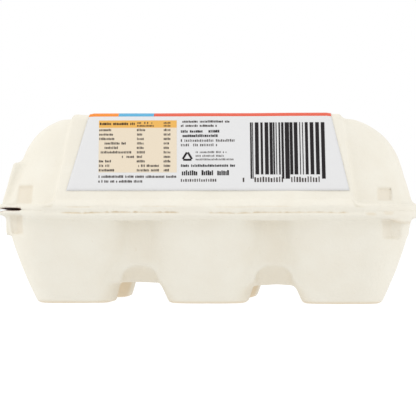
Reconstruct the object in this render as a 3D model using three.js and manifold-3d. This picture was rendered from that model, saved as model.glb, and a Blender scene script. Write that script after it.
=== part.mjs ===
// A shut moulded-pulp carton for six eggs, two rows of three, with a paper label folded over its lid.
// Lid, hinge and tray are one moulding. The pack is shut, so it is solid inside.
// Millimetres. +X runs along the carton, -Y is the hinge side, +Z is up.
// The origin is on the surface that the carton stands on, under its centre.

import * as THREE from "three";
import { mergeVertices } from "three/addons/utils/BufferGeometryUtils.js";
import Module from "manifold-3d";

// Driving sizes of the whole
const LENGTH = 150;
const WIDTH = 105;
const HEIGHT = 67.8;
const PITCH_X = 48;
const PITCH_Y = 49;

// Rims and the seam between them
const SEAM_Z = 33;
const SLIT = 0.7;
const SLIT_DEPTH = 6;
const TRAY_RIM_DEPTH = 2.2;
const LID_RIM_DEPTH = 2.4;
const RIM_CORNER = 18;
const RIM_EDGE = 0.9;

// Hinge fold on the -Y side, with its two scored stretches
const HINGE_HALF_LENGTH = 64;
const HINGE_BULGE = 0.9;
const HINGE_BELOW = 1.7;
const HINGE_ABOVE = 1.6;
const SCORES = [
  [-49.5, -9],
  [2.5, 50],
];
const SCORE_DEPTH = 0.6;
const SCORE_HALF_HEIGHT = 0.35;
const SCORE_HEIGHT = 32.4;

// Label paper on the raised panel
const LABEL_GAP = 0.3;
const LABEL_THICKNESS = 0.3;
const LABEL_TOP_HALF_LENGTH = 42.9;
const LABEL_FLARE = 0.253;
const LABEL_SHIFT = 1.2;
const LABEL_FOOT_Z = 40.2;

// Raised panel that carries the label over the lid
const PANEL_TOP_Z = HEIGHT - LABEL_GAP - LABEL_THICKNESS;
const PANEL_FOOT_Z = SEAM_Z + 1;
const PANEL_FOOT_Y = 50.6;
const PANEL_DRAFT = 0.373;
const PANEL_SHOULDER = 3;
const PANEL_TOP_HALF_LENGTH = 48;
const PANEL_FLARE = 0.165;
const PANEL_STEP = 1.2;
const PANEL_BEVEL = 2.2;

// Domed body of the lid
const DOME_TOP_Z = PANEL_TOP_Z - 0.8;
const DOME_SPRING_Z = 48;
const DOME_SPRING_X = 70.1;
const DOME_FLAT_X = 47;
const DOME_ROUNDING = 1.7;
const DOME_END_DRAFT = 0.27;
const DOME_SHIFT = -0.6;
const DOME_FOOT_Y = PANEL_FOOT_Y - 1.1;
const DOME_SHOULDER = 7;
const DOME_CORNER = 30;
const DOME_CORNER_TOP = 10;

// Cups of the tray
const CUP_FLOOR = 11.4;
const CUP_KNEE = 14.9;
const CUP_KNEE_Z = 2.6;
const CUP_MOUTH = 24.2;
const CUP_MOUTH_Z = 30.5;
const CUP_BELLY = 1.5;
const CUP_ROUNDING = 0.62;

// Core that joins the cups above the tunnels between them
const CORE_FOOT_Z = 6.3;
const CORE_VALLEY = 5;
const CORE_DRAFT = 0.25;
const CORE_CORNER = 14;

// Arched tunnels that run in under the core from all four sides
const ARCH_HALF_WIDTH = 6.4;
const ARCH_FOOT_HALF_WIDTH = 16;
const ARCH_SPRING_Z = 9.2;
const ARCH_TOP_Z = 13.8;
const WEB_HALF_DEPTH = 10;
const END_WEB_X = 40;

// Stacking lugs on the ends, the lid's on the hinge half only, and notches at the four corners
const LID_LUG_TOP_Z = 50.4;
const LID_LUG_Y = [12, 22];
const LID_LUG_PROUD = 0.9;
const TRAY_LUG_FOOT_Z = 24.2;
const TRAY_LUG_Y = [24, 34];
const TRAY_LUG_X = 72.5;
const LUG_DEPTH = 8;
const LUG_CORNER = 1;
const LID_NOTCH_X = 64.7;
const LID_NOTCH_TOP_Z = 41.4;
const LID_NOTCH_WIDTH = 7.4;
const TRAY_NOTCH_FOOT_Z = 24.4;
const TRAY_NOTCH_WIDTH = 8;
const NOTCH_DEPTH = 1.6;

// Two tongues that hold the lid shut on the +Y side
const TONGUE_X = [-25, 25];
const TONGUE_HALF_LENGTH = 9;
const TONGUE_TOP_Z = 38.6;
const TONGUE_DEPTH = 3.6;
const TONGUE_Y = 50.4;
const TONGUE_CORNER = 1.6;
const TONGUE_ROUNDING = 1.2;

// How finely curves are divided
const CUP_LEVELS = 8;
const KNEE_SHARES = [0, 0.12, 0.4, 1];
const CORNER_STEPS = 9;
const DOME_LEVELS = 9;
const ARCH_STEPS = 12;
const BEAD_STEPS = 6;
const SHOULDER_STEPS = 4;
const LUG_STEPS = 2;

// How far a cutter runs past what it cuts, and how far a joined piece reaches into its neighbour
const PAST = 1;
const OVERLAP = 0.5;

const PULP = { color: 0xf1eddf, roughness: 0.95, metalness: 0 };
const PAPER = { color: 0xe8e8ea, roughness: 0.6, metalness: 0 };

const wasm = await Module();
wasm.setup();

// A closed geometry as a manifold-3d solid.
function solidOf(geometry) {
  geometry.deleteAttribute("normal");
  geometry.deleteAttribute("uv");
  const merged = mergeVertices(geometry, 1e-4);
  return new wasm.Manifold(
    new wasm.Mesh({
      numProp: 3,
      vertProperties: merged.attributes.position.array,
      triVerts: new Uint32Array(merged.index.array),
    }),
  );
}

// A manifold-3d solid as a geometry.
function geometryOf(solid) {
  const { vertProperties, triVerts } = solid.getMesh();
  const geometry = new THREE.BufferGeometry();
  geometry.setAttribute("position", new THREE.BufferAttribute(vertProperties, 3));
  geometry.setIndex(new THREE.BufferAttribute(triVerts, 1));
  const flat = geometry.toNonIndexed();
  flat.computeVertexNormals();
  return flat;
}

const joined = (solids) => solids.reduce((whole, next) => whole.add(next));

// A solid through closed convex rings of equal point count, capped at both ends.
// Rings run anticlockwise seen from the last ring's side.
function loft(rings) {
  const count = rings[0].length;
  const points = rings.flat();
  const middles = [rings[0], rings.at(-1)].map((ring) =>
    ring.reduce((sum, p) => sum.add(p), new THREE.Vector3()).divideScalar(count),
  );
  const [firstMiddle, lastMiddle] = [points.length, points.length + 1];
  const faces = [];
  for (let i = 0; i < count; i++) {
    const j = (i + 1) % count;
    for (let k = 0; k < rings.length - 1; k++) {
      const [a, b] = [k * count + i, k * count + j];
      faces.push(a, b, b + count, a, b + count, a + count);
    }
    const last = (rings.length - 1) * count;
    faces.push(firstMiddle, j, i, lastMiddle, last + i, last + j);
  }
  const geometry = new THREE.BufferGeometry().setFromPoints([...points, ...middles]);
  geometry.setIndex(faces);
  return solidOf(geometry);
}

// A level ring: a rectangle of these half sizes with round corners, moved to a centre.
function levelRing(halfX, halfY, radius, z, { x = 0, y = 0, steps = CORNER_STEPS } = {}) {
  const ring = [];
  const corners = [
    [1, 1],
    [-1, 1],
    [-1, -1],
    [1, -1],
  ];
  corners.forEach(([sx, sy], quarter) => {
    for (let i = 0; i <= steps; i++) {
      const angle = ((quarter + i / steps) * Math.PI) / 2;
      ring.push(
        new THREE.Vector3(
          x + sx * (halfX - radius) + radius * Math.cos(angle),
          y + sy * (halfY - radius) + radius * Math.sin(angle),
          z,
        ),
      );
    }
  });
  return ring;
}

// A shape drawn in the YZ plane, pulled along X from x0 to x1.
function pulledAlongX(outline, x0, x1) {
  const turned = outline.map(([y, z]) => new THREE.Vector2(y, z));
  const geometry = new THREE.ExtrudeGeometry(new THREE.Shape(turned), {
    depth: x1 - x0,
    bevelEnabled: false,
  });
  const axes = new THREE.Matrix4().makeBasis(
    new THREE.Vector3(0, 1, 0),
    new THREE.Vector3(0, 0, 1),
    new THREE.Vector3(1, 0, 0),
  );
  geometry.applyMatrix4(axes).translate(x0, 0, 0);
  return solidOf(geometry);
}

// A box between two corners.
function boxBetween(low, high) {
  const size = high.map((v, i) => v - low[i]);
  const geometry = new THREE.BoxGeometry(...size);
  geometry.translate(...low.map((v, i) => v + size[i] / 2));
  return solidOf(geometry);
}

// Half width of a cup at height z: a soft knee at the floor, then a wall that bellies out.
function cupHalfWidth(z) {
  if (z <= CUP_KNEE_Z) {
    const share = 1 - z / CUP_KNEE_Z;
    return CUP_FLOOR + (CUP_KNEE - CUP_FLOOR) * Math.sqrt(1 - share * share);
  }
  const share = Math.min(1, (z - CUP_KNEE_Z) / (CUP_MOUTH_Z - CUP_KNEE_Z));
  return CUP_KNEE + (CUP_MOUTH - CUP_KNEE) * (1 - (1 - share) ** CUP_BELLY);
}

function cup(x, y) {
  const knee = KNEE_SHARES.map((share) => share * CUP_KNEE_Z);
  const wall = Array.from(
    { length: CUP_LEVELS },
    (_, i) => CUP_KNEE_Z + ((i + 1) / CUP_LEVELS) * (CUP_MOUTH_Z - CUP_KNEE_Z),
  );
  const rings = [...knee, ...wall].map((z) => {
    const half = cupHalfWidth(z);
    return levelRing(half, half, half * CUP_ROUNDING, z, { x, y });
  });
  return loft(rings);
}

// The solid inside the tray that joins the cups, with the valleys between them as its walls.
function core() {
  const reach = (z) => CUP_MOUTH - CORE_VALLEY - (CUP_MOUTH_Z - z) * CORE_DRAFT;
  const ring = (z) =>
    levelRing(PITCH_X + reach(z), PITCH_Y / 2 + reach(z), CORE_CORNER, z);
  return loft([ring(CORE_FOOT_Z), ring(SEAM_Z - SLIT / 2)]);
}

// The outline of an arch that stands a little below the floor, as [across, z].
function archOutline() {
  const outline = [
    [-ARCH_FOOT_HALF_WIDTH, -PAST],
    [ARCH_FOOT_HALF_WIDTH, -PAST],
  ];
  for (let i = 0; i <= ARCH_STEPS; i++) {
    const angle = (i / ARCH_STEPS) * Math.PI;
    outline.push([
      ARCH_HALF_WIDTH * Math.cos(angle),
      ARCH_SPRING_Z + (ARCH_TOP_Z - ARCH_SPRING_Z) * Math.sin(angle),
    ]);
  }
  return outline;
}

// Tunnels in from the two ends, and in from both long sides between the columns of cups.
function tunnels() {
  const alongX = pulledAlongX(archOutline(), END_WEB_X, LENGTH / 2);
  const alongY = pulledAlongX(archOutline(), WEB_HALF_DEPTH, WIDTH / 2).rotate([0, 0, 90]);
  const all = [alongX, alongX.mirror([1, 0, 0])];
  for (const x of [-PITCH_X / 2, PITCH_X / 2]) {
    all.push(alongY.translate([x, 0, 0]), alongY.mirror([0, 1, 0]).translate([x, 0, 0]));
  }
  return all;
}

// One rim round the carton between two heights, with its edges eased.
function rim(low, high) {
  const ring = (inset, z) =>
    levelRing(LENGTH / 2 - inset, WIDTH / 2 - inset, RIM_CORNER - inset, z);
  return loft([
    ring(RIM_EDGE, low),
    ring(0, low + RIM_EDGE),
    ring(0, high - RIM_EDGE),
    ring(RIM_EDGE, high),
  ]);
}

// The solid that joins lid and tray behind the open slit of the seam.
function neck() {
  const ring = (z) =>
    levelRing(
      LENGTH / 2 - SLIT_DEPTH,
      WIDTH / 2 - SLIT_DEPTH,
      RIM_CORNER - SLIT_DEPTH,
      z,
    );
  return loft([ring(SEAM_Z - SLIT / 2 - OVERLAP), ring(SEAM_Z + SLIT / 2 + OVERLAP)]);
}

// The folded hinge along the -Y side, with its score lines pressed in.
function hinge() {
  const outer = -WIDTH / 2;
  const inner = outer + SLIT_DEPTH + OVERLAP;
  const [low, high] = [SEAM_Z - HINGE_BELOW, SEAM_Z + HINGE_ABOVE];
  const outline = [
    [inner, low],
    [inner, high],
  ];
  for (let i = 0; i <= BEAD_STEPS; i++) {
    const angle = Math.PI / 2 + (i / BEAD_STEPS) * Math.PI;
    outline.push([
      outer + HINGE_BULGE + HINGE_BULGE * Math.cos(angle),
      (low + high) / 2 + ((high - low) / 2) * Math.sin(angle),
    ]);
  }
  const bead = pulledAlongX(outline, -HINGE_HALF_LENGTH, HINGE_HALF_LENGTH);
  const cuts = SCORES.map(([x0, x1]) =>
    boxBetween(
      [x0, outer - PAST, SCORE_HEIGHT - SCORE_HALF_HEIGHT],
      [x1, outer + SCORE_DEPTH, SCORE_HEIGHT + SCORE_HALF_HEIGHT],
    ),
  );
  return bead.subtract(joined(cuts));
}

// Half length and half width of the lid's domed body at height z.
function domeHalfLength(z) {
  if (z <= DOME_SPRING_Z) return DOME_SPRING_X + (DOME_SPRING_Z - z) * DOME_END_DRAFT;
  const share = (z - DOME_SPRING_Z) / (DOME_TOP_Z - DOME_SPRING_Z);
  const round = (1 - share ** DOME_ROUNDING) ** (1 / DOME_ROUNDING);
  return DOME_FLAT_X + (DOME_SPRING_X - DOME_FLAT_X) * round;
}

function domeHalfWidth(z) {
  const slope = Math.atan(PANEL_DRAFT);
  const centreZ = DOME_TOP_Z - DOME_SHOULDER;
  const lineY = DOME_FOOT_Y - PANEL_DRAFT * (z - PANEL_FOOT_Z);
  if (z <= centreZ + DOME_SHOULDER * Math.sin(slope)) return lineY;
  const lineAtCentre = DOME_FOOT_Y - PANEL_DRAFT * (centreZ - PANEL_FOOT_Z);
  const centreY = lineAtCentre - DOME_SHOULDER / Math.cos(slope);
  return centreY + Math.sqrt(DOME_SHOULDER ** 2 - (z - centreZ) ** 2);
}

function dome() {
  const straight = [SEAM_Z + SLIT / 2, DOME_SPRING_Z];
  const round = Array.from({ length: DOME_LEVELS }, (_, i) => {
    const angle = (((i + 1) / DOME_LEVELS) * Math.PI) / 2;
    return DOME_SPRING_Z + (DOME_TOP_Z - DOME_SPRING_Z) * Math.sin(angle);
  });
  const rings = [...straight, ...round].map((z) => {
    const share = Math.max(0, (z - DOME_SPRING_Z) / (DOME_TOP_Z - DOME_SPRING_Z));
    const corner = DOME_CORNER + (DOME_CORNER_TOP - DOME_CORNER) * share;
    return levelRing(domeHalfLength(z), domeHalfWidth(z), corner, z, { x: DOME_SHIFT });
  });
  return loft(rings);
}

// The panel's section as [y, z] points from the -Y foot over the top to the +Y foot,
// moved out by an offset, with its feet at a height.
function panelSection(offset, footZ) {
  const slope = Math.atan(PANEL_DRAFT);
  const top = PANEL_TOP_Z + offset;
  const radius = PANEL_SHOULDER + offset;
  const footY =
    PANEL_FOOT_Y - PANEL_DRAFT * (footZ - PANEL_FOOT_Z) + offset / Math.cos(slope);
  const topY = footY - PANEL_DRAFT * (top - radius - footZ);
  const centreY = topY - radius / Math.cos(slope);
  const half = [[footY, footZ]];
  for (let i = 0; i <= SHOULDER_STEPS; i++) {
    const angle = slope + (i / SHOULDER_STEPS) * (Math.PI / 2 - slope);
    half.push([centreY + radius * Math.cos(angle), top - radius + radius * Math.sin(angle)]);
  }
  const mirrored = half.map(([y, z]) => [-y, z]);
  return [...mirrored, ...half.reverse()];
}

// A ring across the carton on one side, whose half length grows with a flare down from the top.
function crossRing(section, side, topHalfLength, flare) {
  return section.map(
    ([y, z]) => new THREE.Vector3(side * (topHalfLength + (PANEL_TOP_Z - z) * flare), y, z),
  );
}

function panel() {
  const full = panelSection(0, PANEL_FOOT_Z);
  const sunk = panelSection(-PANEL_STEP, PANEL_FOOT_Z);
  const foot = PANEL_TOP_HALF_LENGTH + PANEL_BEVEL;
  return loft([
    crossRing(sunk, 1, foot, PANEL_FLARE),
    crossRing(full, 1, PANEL_TOP_HALF_LENGTH, PANEL_FLARE),
    crossRing(full, -1, PANEL_TOP_HALF_LENGTH, PANEL_FLARE),
    crossRing(sunk, -1, foot, PANEL_FLARE),
  ]);
}

// The folded label: a strip of even thickness lying over the panel.
function label() {
  const outer = panelSection(LABEL_GAP + LABEL_THICKNESS, LABEL_FOOT_Z);
  const inner = panelSection(LABEL_GAP, LABEL_FOOT_Z - PAST);
  const slab = (section, halfLength) =>
    loft([1, -1].map((side) => crossRing(section, side, halfLength, LABEL_FLARE)));
  return slab(outer, LABEL_TOP_HALF_LENGTH)
    .subtract(slab(inner, LABEL_TOP_HALF_LENGTH + PAST))
    .translate([LABEL_SHIFT, 0, 0]);
}

// Lug on one end of the lid, a little proud of the dome's end.
function lidLug() {
  const ring = (z) => {
    const reach = DOME_SPRING_X + (DOME_SPRING_Z - z) * DOME_END_DRAFT + LID_LUG_PROUD;
    const [y0, y1] = LID_LUG_Y;
    return levelRing(LUG_DEPTH / 2, (y1 - y0) / 2, LUG_CORNER, z, {
      x: reach - LUG_DEPTH / 2 + DOME_SHIFT,
      y: -(y0 + y1) / 2,
      steps: LUG_STEPS,
    });
  };
  return loft([ring(SEAM_Z + SLIT / 2 + LID_RIM_DEPTH - OVERLAP), ring(LID_LUG_TOP_Z)]);
}

// Lug on one end of the tray, just under the rim.
function trayLug() {
  const [y0, y1] = TRAY_LUG_Y;
  const ring = (z) =>
    levelRing(LUG_DEPTH / 2, (y1 - y0) / 2, LUG_CORNER, z, {
      x: TRAY_LUG_X - LUG_DEPTH / 2,
      y: -(y0 + y1) / 2,
      steps: LUG_STEPS,
    });
  return loft([ring(TRAY_LUG_FOOT_Z), ring(SEAM_Z - SLIT / 2 - RIM_EDGE)]);
}

// A tongue of the tray on the +Y side, standing out of its slot in the lid's wall.
function tongue(x) {
  const ring = (z, inset) =>
    levelRing(TONGUE_HALF_LENGTH - inset, TONGUE_DEPTH / 2, TONGUE_CORNER, z, {
      x,
      y: TONGUE_Y - (TONGUE_DEPTH + inset) / 2,
      steps: LUG_STEPS,
    });
  return loft([
    ring(SEAM_Z + SLIT, 0),
    ring(TONGUE_TOP_Z - TONGUE_ROUNDING, 0),
    ring(TONGUE_TOP_Z, TONGUE_ROUNDING),
  ]);
}

// The slot round such a tongue.
function tongueSlot(x) {
  const half = TONGUE_HALF_LENGTH + SLIT;
  return boxBetween(
    [x - half, TONGUE_Y - TONGUE_DEPTH - SLIT, SEAM_Z],
    [x + half, WIDTH, TONGUE_TOP_Z + SLIT],
  );
}

// Turns a feature of the +X, -Y corner into the same at all four corners.
function atFourCorners(solid) {
  const right = [solid, solid.mirror([0, 1, 0])];
  return [...right, ...right.map((s) => s.mirror([1, 0, 0]))];
}

// A cutter for a notch in a corner, facing out at 45 degrees from a point on the wall.
function notch(x, y, width, low, high) {
  const cutter = boxBetween([-NOTCH_DEPTH, -width / 2, low], [width, width / 2, high]);
  return cutter.rotate([0, 0, -45]).translate([x, y, 0]);
}

function lid() {
  const rimLow = SEAM_Z + SLIT / 2;
  const rimHigh = rimLow + LID_RIM_DEPTH;
  const middleZ = (rimHigh + LID_NOTCH_TOP_Z) / 2;
  const arcX = domeHalfLength(middleZ) - DOME_CORNER;
  const arcY = domeHalfWidth(middleZ) - DOME_CORNER;
  const surfaceY = arcY + Math.sqrt(DOME_CORNER ** 2 - (LID_NOTCH_X - arcX) ** 2);
  const cutter = notch(LID_NOTCH_X, -surfaceY, LID_NOTCH_WIDTH, rimHigh, LID_NOTCH_TOP_Z);
  const lug = lidLug();
  const otherLug = lug.mirror([1, 0, 0]).translate([2 * DOME_SHIFT, 0, 0]);
  const body = joined([dome(), panel(), lug, otherLug]);
  const cuts = [...atFourCorners(cutter), ...TONGUE_X.map(tongueSlot)];
  return body.subtract(joined(cuts)).add(rim(rimLow, rimHigh)).add(joined(TONGUE_X.map(tongue)));
}

function tray() {
  const rimHigh = SEAM_Z - SLIT / 2;
  const rimLow = rimHigh - TRAY_RIM_DEPTH;
  const cups = [];
  for (const column of [-1, 0, 1]) {
    for (const row of [-0.5, 0.5]) cups.push(cup(column * PITCH_X, row * PITCH_Y));
  }
  const body = joined([core().subtract(joined(tunnels())), ...cups, ...atFourCorners(trayLug())]);
  const half = cupHalfWidth(rimLow);
  const bulge = half * (1 - CUP_ROUNDING * (1 - Math.SQRT1_2));
  const cutter = notch(
    PITCH_X + bulge,
    -PITCH_Y / 2 - bulge,
    TRAY_NOTCH_WIDTH,
    TRAY_NOTCH_FOOT_Z,
    rimLow,
  );
  return body.subtract(joined(atFourCorners(cutter))).add(rim(rimLow, rimHigh));
}

function namedMesh(name, solid, finish) {
  const mesh = new THREE.Mesh(geometryOf(solid), new THREE.MeshStandardMaterial(finish));
  mesh.name = name;
  return mesh;
}

const pack = new THREE.Group();
pack.add(namedMesh("carton", joined([tray(), neck(), hinge(), lid()]), PULP));
pack.add(namedMesh("label", label(), PAPER));

export default pack;
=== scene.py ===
"""A shut carton of moulded pulp for six eggs, with a printed label folded over its lid.

The pulp's form is worked out as a field of distances and meshed from it, because a moulding has no
sharp joint anywhere. The label is one sheet that wraps over the lid, and its print is drawn flat and
wrapped by the same rule. Sizes are in millimetres here, and every mesh is made in metres.
"""

import logging
import math
from dataclasses import dataclass
from enum import Enum

import bpy
import numpy as np
import openvdb
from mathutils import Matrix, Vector


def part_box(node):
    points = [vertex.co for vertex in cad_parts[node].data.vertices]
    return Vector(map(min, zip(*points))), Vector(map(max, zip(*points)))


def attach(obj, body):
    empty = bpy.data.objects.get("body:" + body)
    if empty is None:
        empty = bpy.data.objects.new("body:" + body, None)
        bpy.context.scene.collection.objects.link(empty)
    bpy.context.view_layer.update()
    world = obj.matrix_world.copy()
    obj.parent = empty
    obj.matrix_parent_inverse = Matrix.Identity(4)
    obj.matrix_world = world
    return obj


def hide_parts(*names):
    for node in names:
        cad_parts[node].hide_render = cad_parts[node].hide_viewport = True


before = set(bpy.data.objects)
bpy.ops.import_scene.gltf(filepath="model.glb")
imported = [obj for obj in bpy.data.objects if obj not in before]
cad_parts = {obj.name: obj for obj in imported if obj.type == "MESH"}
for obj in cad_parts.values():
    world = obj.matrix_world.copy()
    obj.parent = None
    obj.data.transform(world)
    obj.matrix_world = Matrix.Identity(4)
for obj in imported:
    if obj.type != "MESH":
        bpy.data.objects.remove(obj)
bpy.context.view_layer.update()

LOG = logging.getLogger("egg_carton")
MM = 0.001
BODY = "root"

CARTON_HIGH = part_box("carton")[1] / MM
HALF_LENGTH = CARTON_HIGH.x
HALF_WIDTH = CARTON_HIGH.y

SEAM_Z = 33.0
RIM_CORNER = 18.0
PANEL_DRAFT = 0.373
PANEL_TOP_Z = 67.2
PANEL_FOOT_Z = 34.0
PANEL_FOOT_Y = 50.6
PANEL_SHOULDER = 3.0
# How much of a notch's painted warm shade is also painted darker in the slit's shade brown.
DARKENED = 0.35
# Thickness of the flat artwork before it is laid on the paper.
PRINT_THICKNESS = 0.05

Size = float | np.ndarray
Pair = tuple[float, float]
Triple = tuple[float, float, float]
# Where a soft stretch starts, where it is full, where it begins to fade and where it ends.
Marks = tuple[float, float, float, float]
# Points in millimetres and faces of point numbers.
Shape = tuple[np.ndarray, np.ndarray]


class Finish(Enum):
    """The finishes that the pieces are dressed in."""

    PULP = "moulded_pulp"
    PAPER = "coated_label_paper"
    ORANGE = "offset_ink_orange"
    BLUE = "offset_ink_blue"
    CORAL = "offset_ink_coral"
    AMBER = "offset_ink_amber"
    SAND = "offset_ink_sand"
    BLACK = "offset_ink_black"
    GREY = "offset_ink_warm_grey"


Materials = dict[Finish, bpy.types.Material]


class Side(Enum):
    """The two long sides of the carton."""

    HINGE = -1
    CLOSING = 1


# Small helpers for meshes, nodes and colours


def linear(colour: str) -> tuple[float, ...]:
    """Turns an sRGB hex colour into linear light.

    Args:
        colour: Six hex digits, such as "f4efe0".

    Returns:
        Red, green, blue and an alpha of one.
    """
    shares = [int(colour[i : i + 2], 16) / 255 for i in (0, 2, 4)]
    light = [c / 12.92 if c <= 0.04045 else ((c + 0.055) / 1.055) ** 2.4 for c in shares]
    return (*light, 1.0)


def add(
    tree: bpy.types.NodeTree, kind: str, inputs: dict | None = None, **settings: object
) -> bpy.types.Node:
    """Adds a node with its settings, and its inputs as values or as links from other sockets.

    Args:
        tree: The node tree that gets the node.
        kind: The node's type name.
        inputs: Values or output sockets by the input's name or number.
        settings: Attributes of the node itself.

    Returns:
        The new node.
    """
    node = tree.nodes.new(kind)
    for name, value in settings.items():
        setattr(node, name, value)
    for name, value in (inputs or {}).items():
        if isinstance(value, bpy.types.NodeSocket):
            tree.links.new(value, node.inputs[name])
        else:
            node.inputs[name].default_value = value
    return node


def new_mesh(name: str, points: np.ndarray, faces: np.ndarray) -> bpy.types.Mesh:
    """Makes a smooth mesh from millimetre points and faces of equal corner count.

    Args:
        name: The mesh's name.
        points: One row for each point, in millimetres.
        faces: One row of point numbers for each face.

    Returns:
        The mesh, in metres.
    """
    mesh = bpy.data.meshes.new(name)
    count, corners = faces.shape
    mesh.vertices.add(len(points))
    mesh.vertices.foreach_set("co", (points * MM).astype(np.float32).ravel())
    mesh.loops.add(count * corners)
    mesh.loops.foreach_set("vertex_index", faces.astype(np.int32).ravel())
    mesh.polygons.add(count)
    mesh.polygons.foreach_set("loop_start", np.arange(0, count * corners, corners, dtype=np.int32))
    mesh.update(calc_edges=True)
    mesh.polygons.foreach_set("use_smooth", np.ones(count, bool))
    mesh.validate()
    return mesh


def mark(mesh: bpy.types.Mesh, name: str, values: np.ndarray) -> None:
    """Stores one number for each point of a mesh, which its material reads."""
    layer = mesh.attributes.new(name, "FLOAT", "POINT")
    layer.data.foreach_set("value", values.astype(np.float32))


def place(
    name: str, mesh: bpy.types.Mesh, material: bpy.types.Material, node: str
) -> None:
    """Puts a finished mesh into the scene as a piece that stands for a CAD node.

    Args:
        name: The piece's name.
        mesh: Its mesh, already in place.
        material: Its finish.
        node: The CAD node that it replaces.
    """
    mesh.materials.clear()
    mesh.materials.append(material)
    piece = bpy.data.objects.new(name, mesh)
    bpy.context.scene.collection.objects.link(piece)
    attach(piece, BODY)
    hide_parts(node)
    mesh.calc_loop_triangles()
    LOG.info("%s: %d triangles", name, len(mesh.loop_triangles))


def smooth_step(start: float, end: float, value: np.ndarray) -> np.ndarray:
    """A soft step from 0 at start to 1 at end."""
    share = np.clip((value - start) / (end - start), 0, 1)
    return share * share * (3 - 2 * share)


def stretch(marks: Marks, value: np.ndarray) -> np.ndarray:
    """A soft stretch: up from 0 to 1 between the first two marks and back to 0 between the last two."""
    return smooth_step(marks[0], marks[1], value) * smooth_step(marks[3], marks[2], value)


# Materials


def blank_material(name: str) -> tuple[bpy.types.Material, bpy.types.NodeTree]:
    """Starts a material without any node.

    Args:
        name: The material's name.

    Returns:
        The material and its node tree.
    """
    material = bpy.data.materials.new(name)
    material.use_nodes = True
    material.node_tree.nodes.clear()
    return material, material.node_tree


@dataclass(frozen=True)
class PulpFinish:
    """Bleached moulded pulp, dried on a mesh: dead matt, faintly mottled, with fibres on its skin."""

    cream: str = "e5e1d5"
    shade: str = "e3ded1"
    fleck: str = "cdbd9c"
    # The warm tint of torn fibres, which also paints warm shade, and a dark brown that paints shade deep in
    # the slit.
    torn_tint_and_shade: str = "cfae74"
    shade_brown: str = "6b2f0c"
    mottle_mm: float = 9.0
    grain_mm: float = 1.1
    fleck_mm: float = 1.6
    # Real fibres are a tenth as thick. These are as coarse as they need to be to show.
    fibre_mm: float = 0.35
    fibre_length_mm: float = 3.0
    fibre_turns: tuple[Triple, ...] = ((0.3, 0.5, 0.7), (0.9, -0.4, 2.3))
    grain_height_mm: float = 0.10
    fibre_height_mm: float = 0.05
    roughness: float = 0.94

    def build(self) -> bpy.types.Material:
        """Builds the pulp's material, with patterns scaled from real sizes.

        Returns:
            The material.
        """
        material, tree = blank_material(Finish.PULP.value)
        spot = add(tree, "ShaderNodeTexCoord").outputs["Object"]
        mottle, grain, fleck = [
            add(tree, "ShaderNodeTexNoise", {"Vector": spot, "Scale": 1 / (size * MM), "Detail": detail})
            for size, detail in ((self.mottle_mm, 3.0), (self.grain_mm, 4.0), (self.fleck_mm, 1.0))
        ]
        # Two sets of noise stretched along different ways read as fibres lying across each other.
        strands = []
        narrow = (self.fibre_mm / self.fibre_length_mm, 1.0, 1.0)
        for turn in self.fibre_turns:
            laid = add(tree, "ShaderNodeMapping", {"Vector": spot, "Rotation": turn, "Scale": narrow})
            fine = {"Vector": laid.outputs[0], "Scale": 1 / (self.fibre_mm * MM), "Detail": 2.0}
            strands.append(add(tree, "ShaderNodeTexNoise", fine).outputs["Fac"])
        fibres = add(tree, "ShaderNodeMath", {0: strands[0], 1: strands[1]}, operation="MAXIMUM")
        shares = []
        for noise, low, high, most in ((mottle, 0.35, 0.65, 1.0), (fleck, 0.74, 0.80, 0.15)):
            limits = {"Value": noise.outputs["Fac"], "From Min": low, "From Max": high, "To Max": most}
            shares.append(add(tree, "ShaderNodeMapRange", limits).outputs[0])
        # Torn fibres are warmer than the pressed outer skin. The same warm tint paints shade between the
        # cups, on the feet and in the notches, and the dark brown paints shade deep in the seam and in the
        # notches.
        for name in ("tint_and_shade", "crease"):
            shares.append(add(tree, "ShaderNodeAttribute", attribute_name=name).outputs["Fac"])
        colour = linear(self.cream)
        for share, over in zip(shares, (self.shade, self.fleck, self.torn_tint_and_shade, self.shade_brown)):
            layer = {0: share, 6: colour, 7: linear(over)}
            colour = add(tree, "ShaderNodeMix", layer, data_type="RGBA").outputs[2]
        bump = {"Strength": 1.0, "Distance": self.grain_height_mm * MM, "Height": grain.outputs["Fac"]}
        fuzz = {"Strength": 1.0, "Distance": self.fibre_height_mm * MM, "Height": fibres.outputs[0]}
        fuzz["Normal"] = add(tree, "ShaderNodeBump", bump).outputs[0]
        looks = {
            "Base Color": colour,
            "Roughness": self.roughness,
            "Specular IOR Level": 0.25,
            "Sheen Weight": 0.1,
            "Normal": add(tree, "ShaderNodeBump", fuzz).outputs[0],
        }
        shader = add(tree, "ShaderNodeBsdfPrincipled", looks)
        add(tree, "ShaderNodeOutputMaterial", {"Surface": shader.outputs[0]})
        return material


@dataclass(frozen=True)
class PaperFinish:
    """Machine-coated label paper: a cool white with a low sheen and the faint cloud of its pulp."""

    white: str = "dbdbdb"
    cloud: str = "d8d8d9"
    cloud_mm: float = 3.0
    tooth_mm: float = 0.25
    tooth_height_mm: float = 0.01
    roughness: float = 0.52

    def build(self) -> bpy.types.Material:
        """Builds the paper's material.

        Returns:
            The material.
        """
        material, tree = blank_material(Finish.PAPER.value)
        spot = add(tree, "ShaderNodeTexCoord").outputs["Object"]
        cloud, tooth = [
            add(tree, "ShaderNodeTexNoise", {"Vector": spot, "Scale": 1 / (size * MM)}).outputs["Fac"]
            for size in (self.cloud_mm, self.tooth_mm)
        ]
        shades = {0: cloud, 6: linear(self.white), 7: linear(self.cloud)}
        bump = {"Distance": self.tooth_height_mm * MM, "Height": tooth}
        looks = {
            "Base Color": add(tree, "ShaderNodeMix", shades, data_type="RGBA").outputs[2],
            "Roughness": self.roughness,
            "Specular IOR Level": 0.25,
            "Normal": add(tree, "ShaderNodeBump", bump).outputs[0],
        }
        shader = add(tree, "ShaderNodeBsdfPrincipled", looks)
        add(tree, "ShaderNodeOutputMaterial", {"Surface": shader.outputs[0]})
        return material


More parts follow.
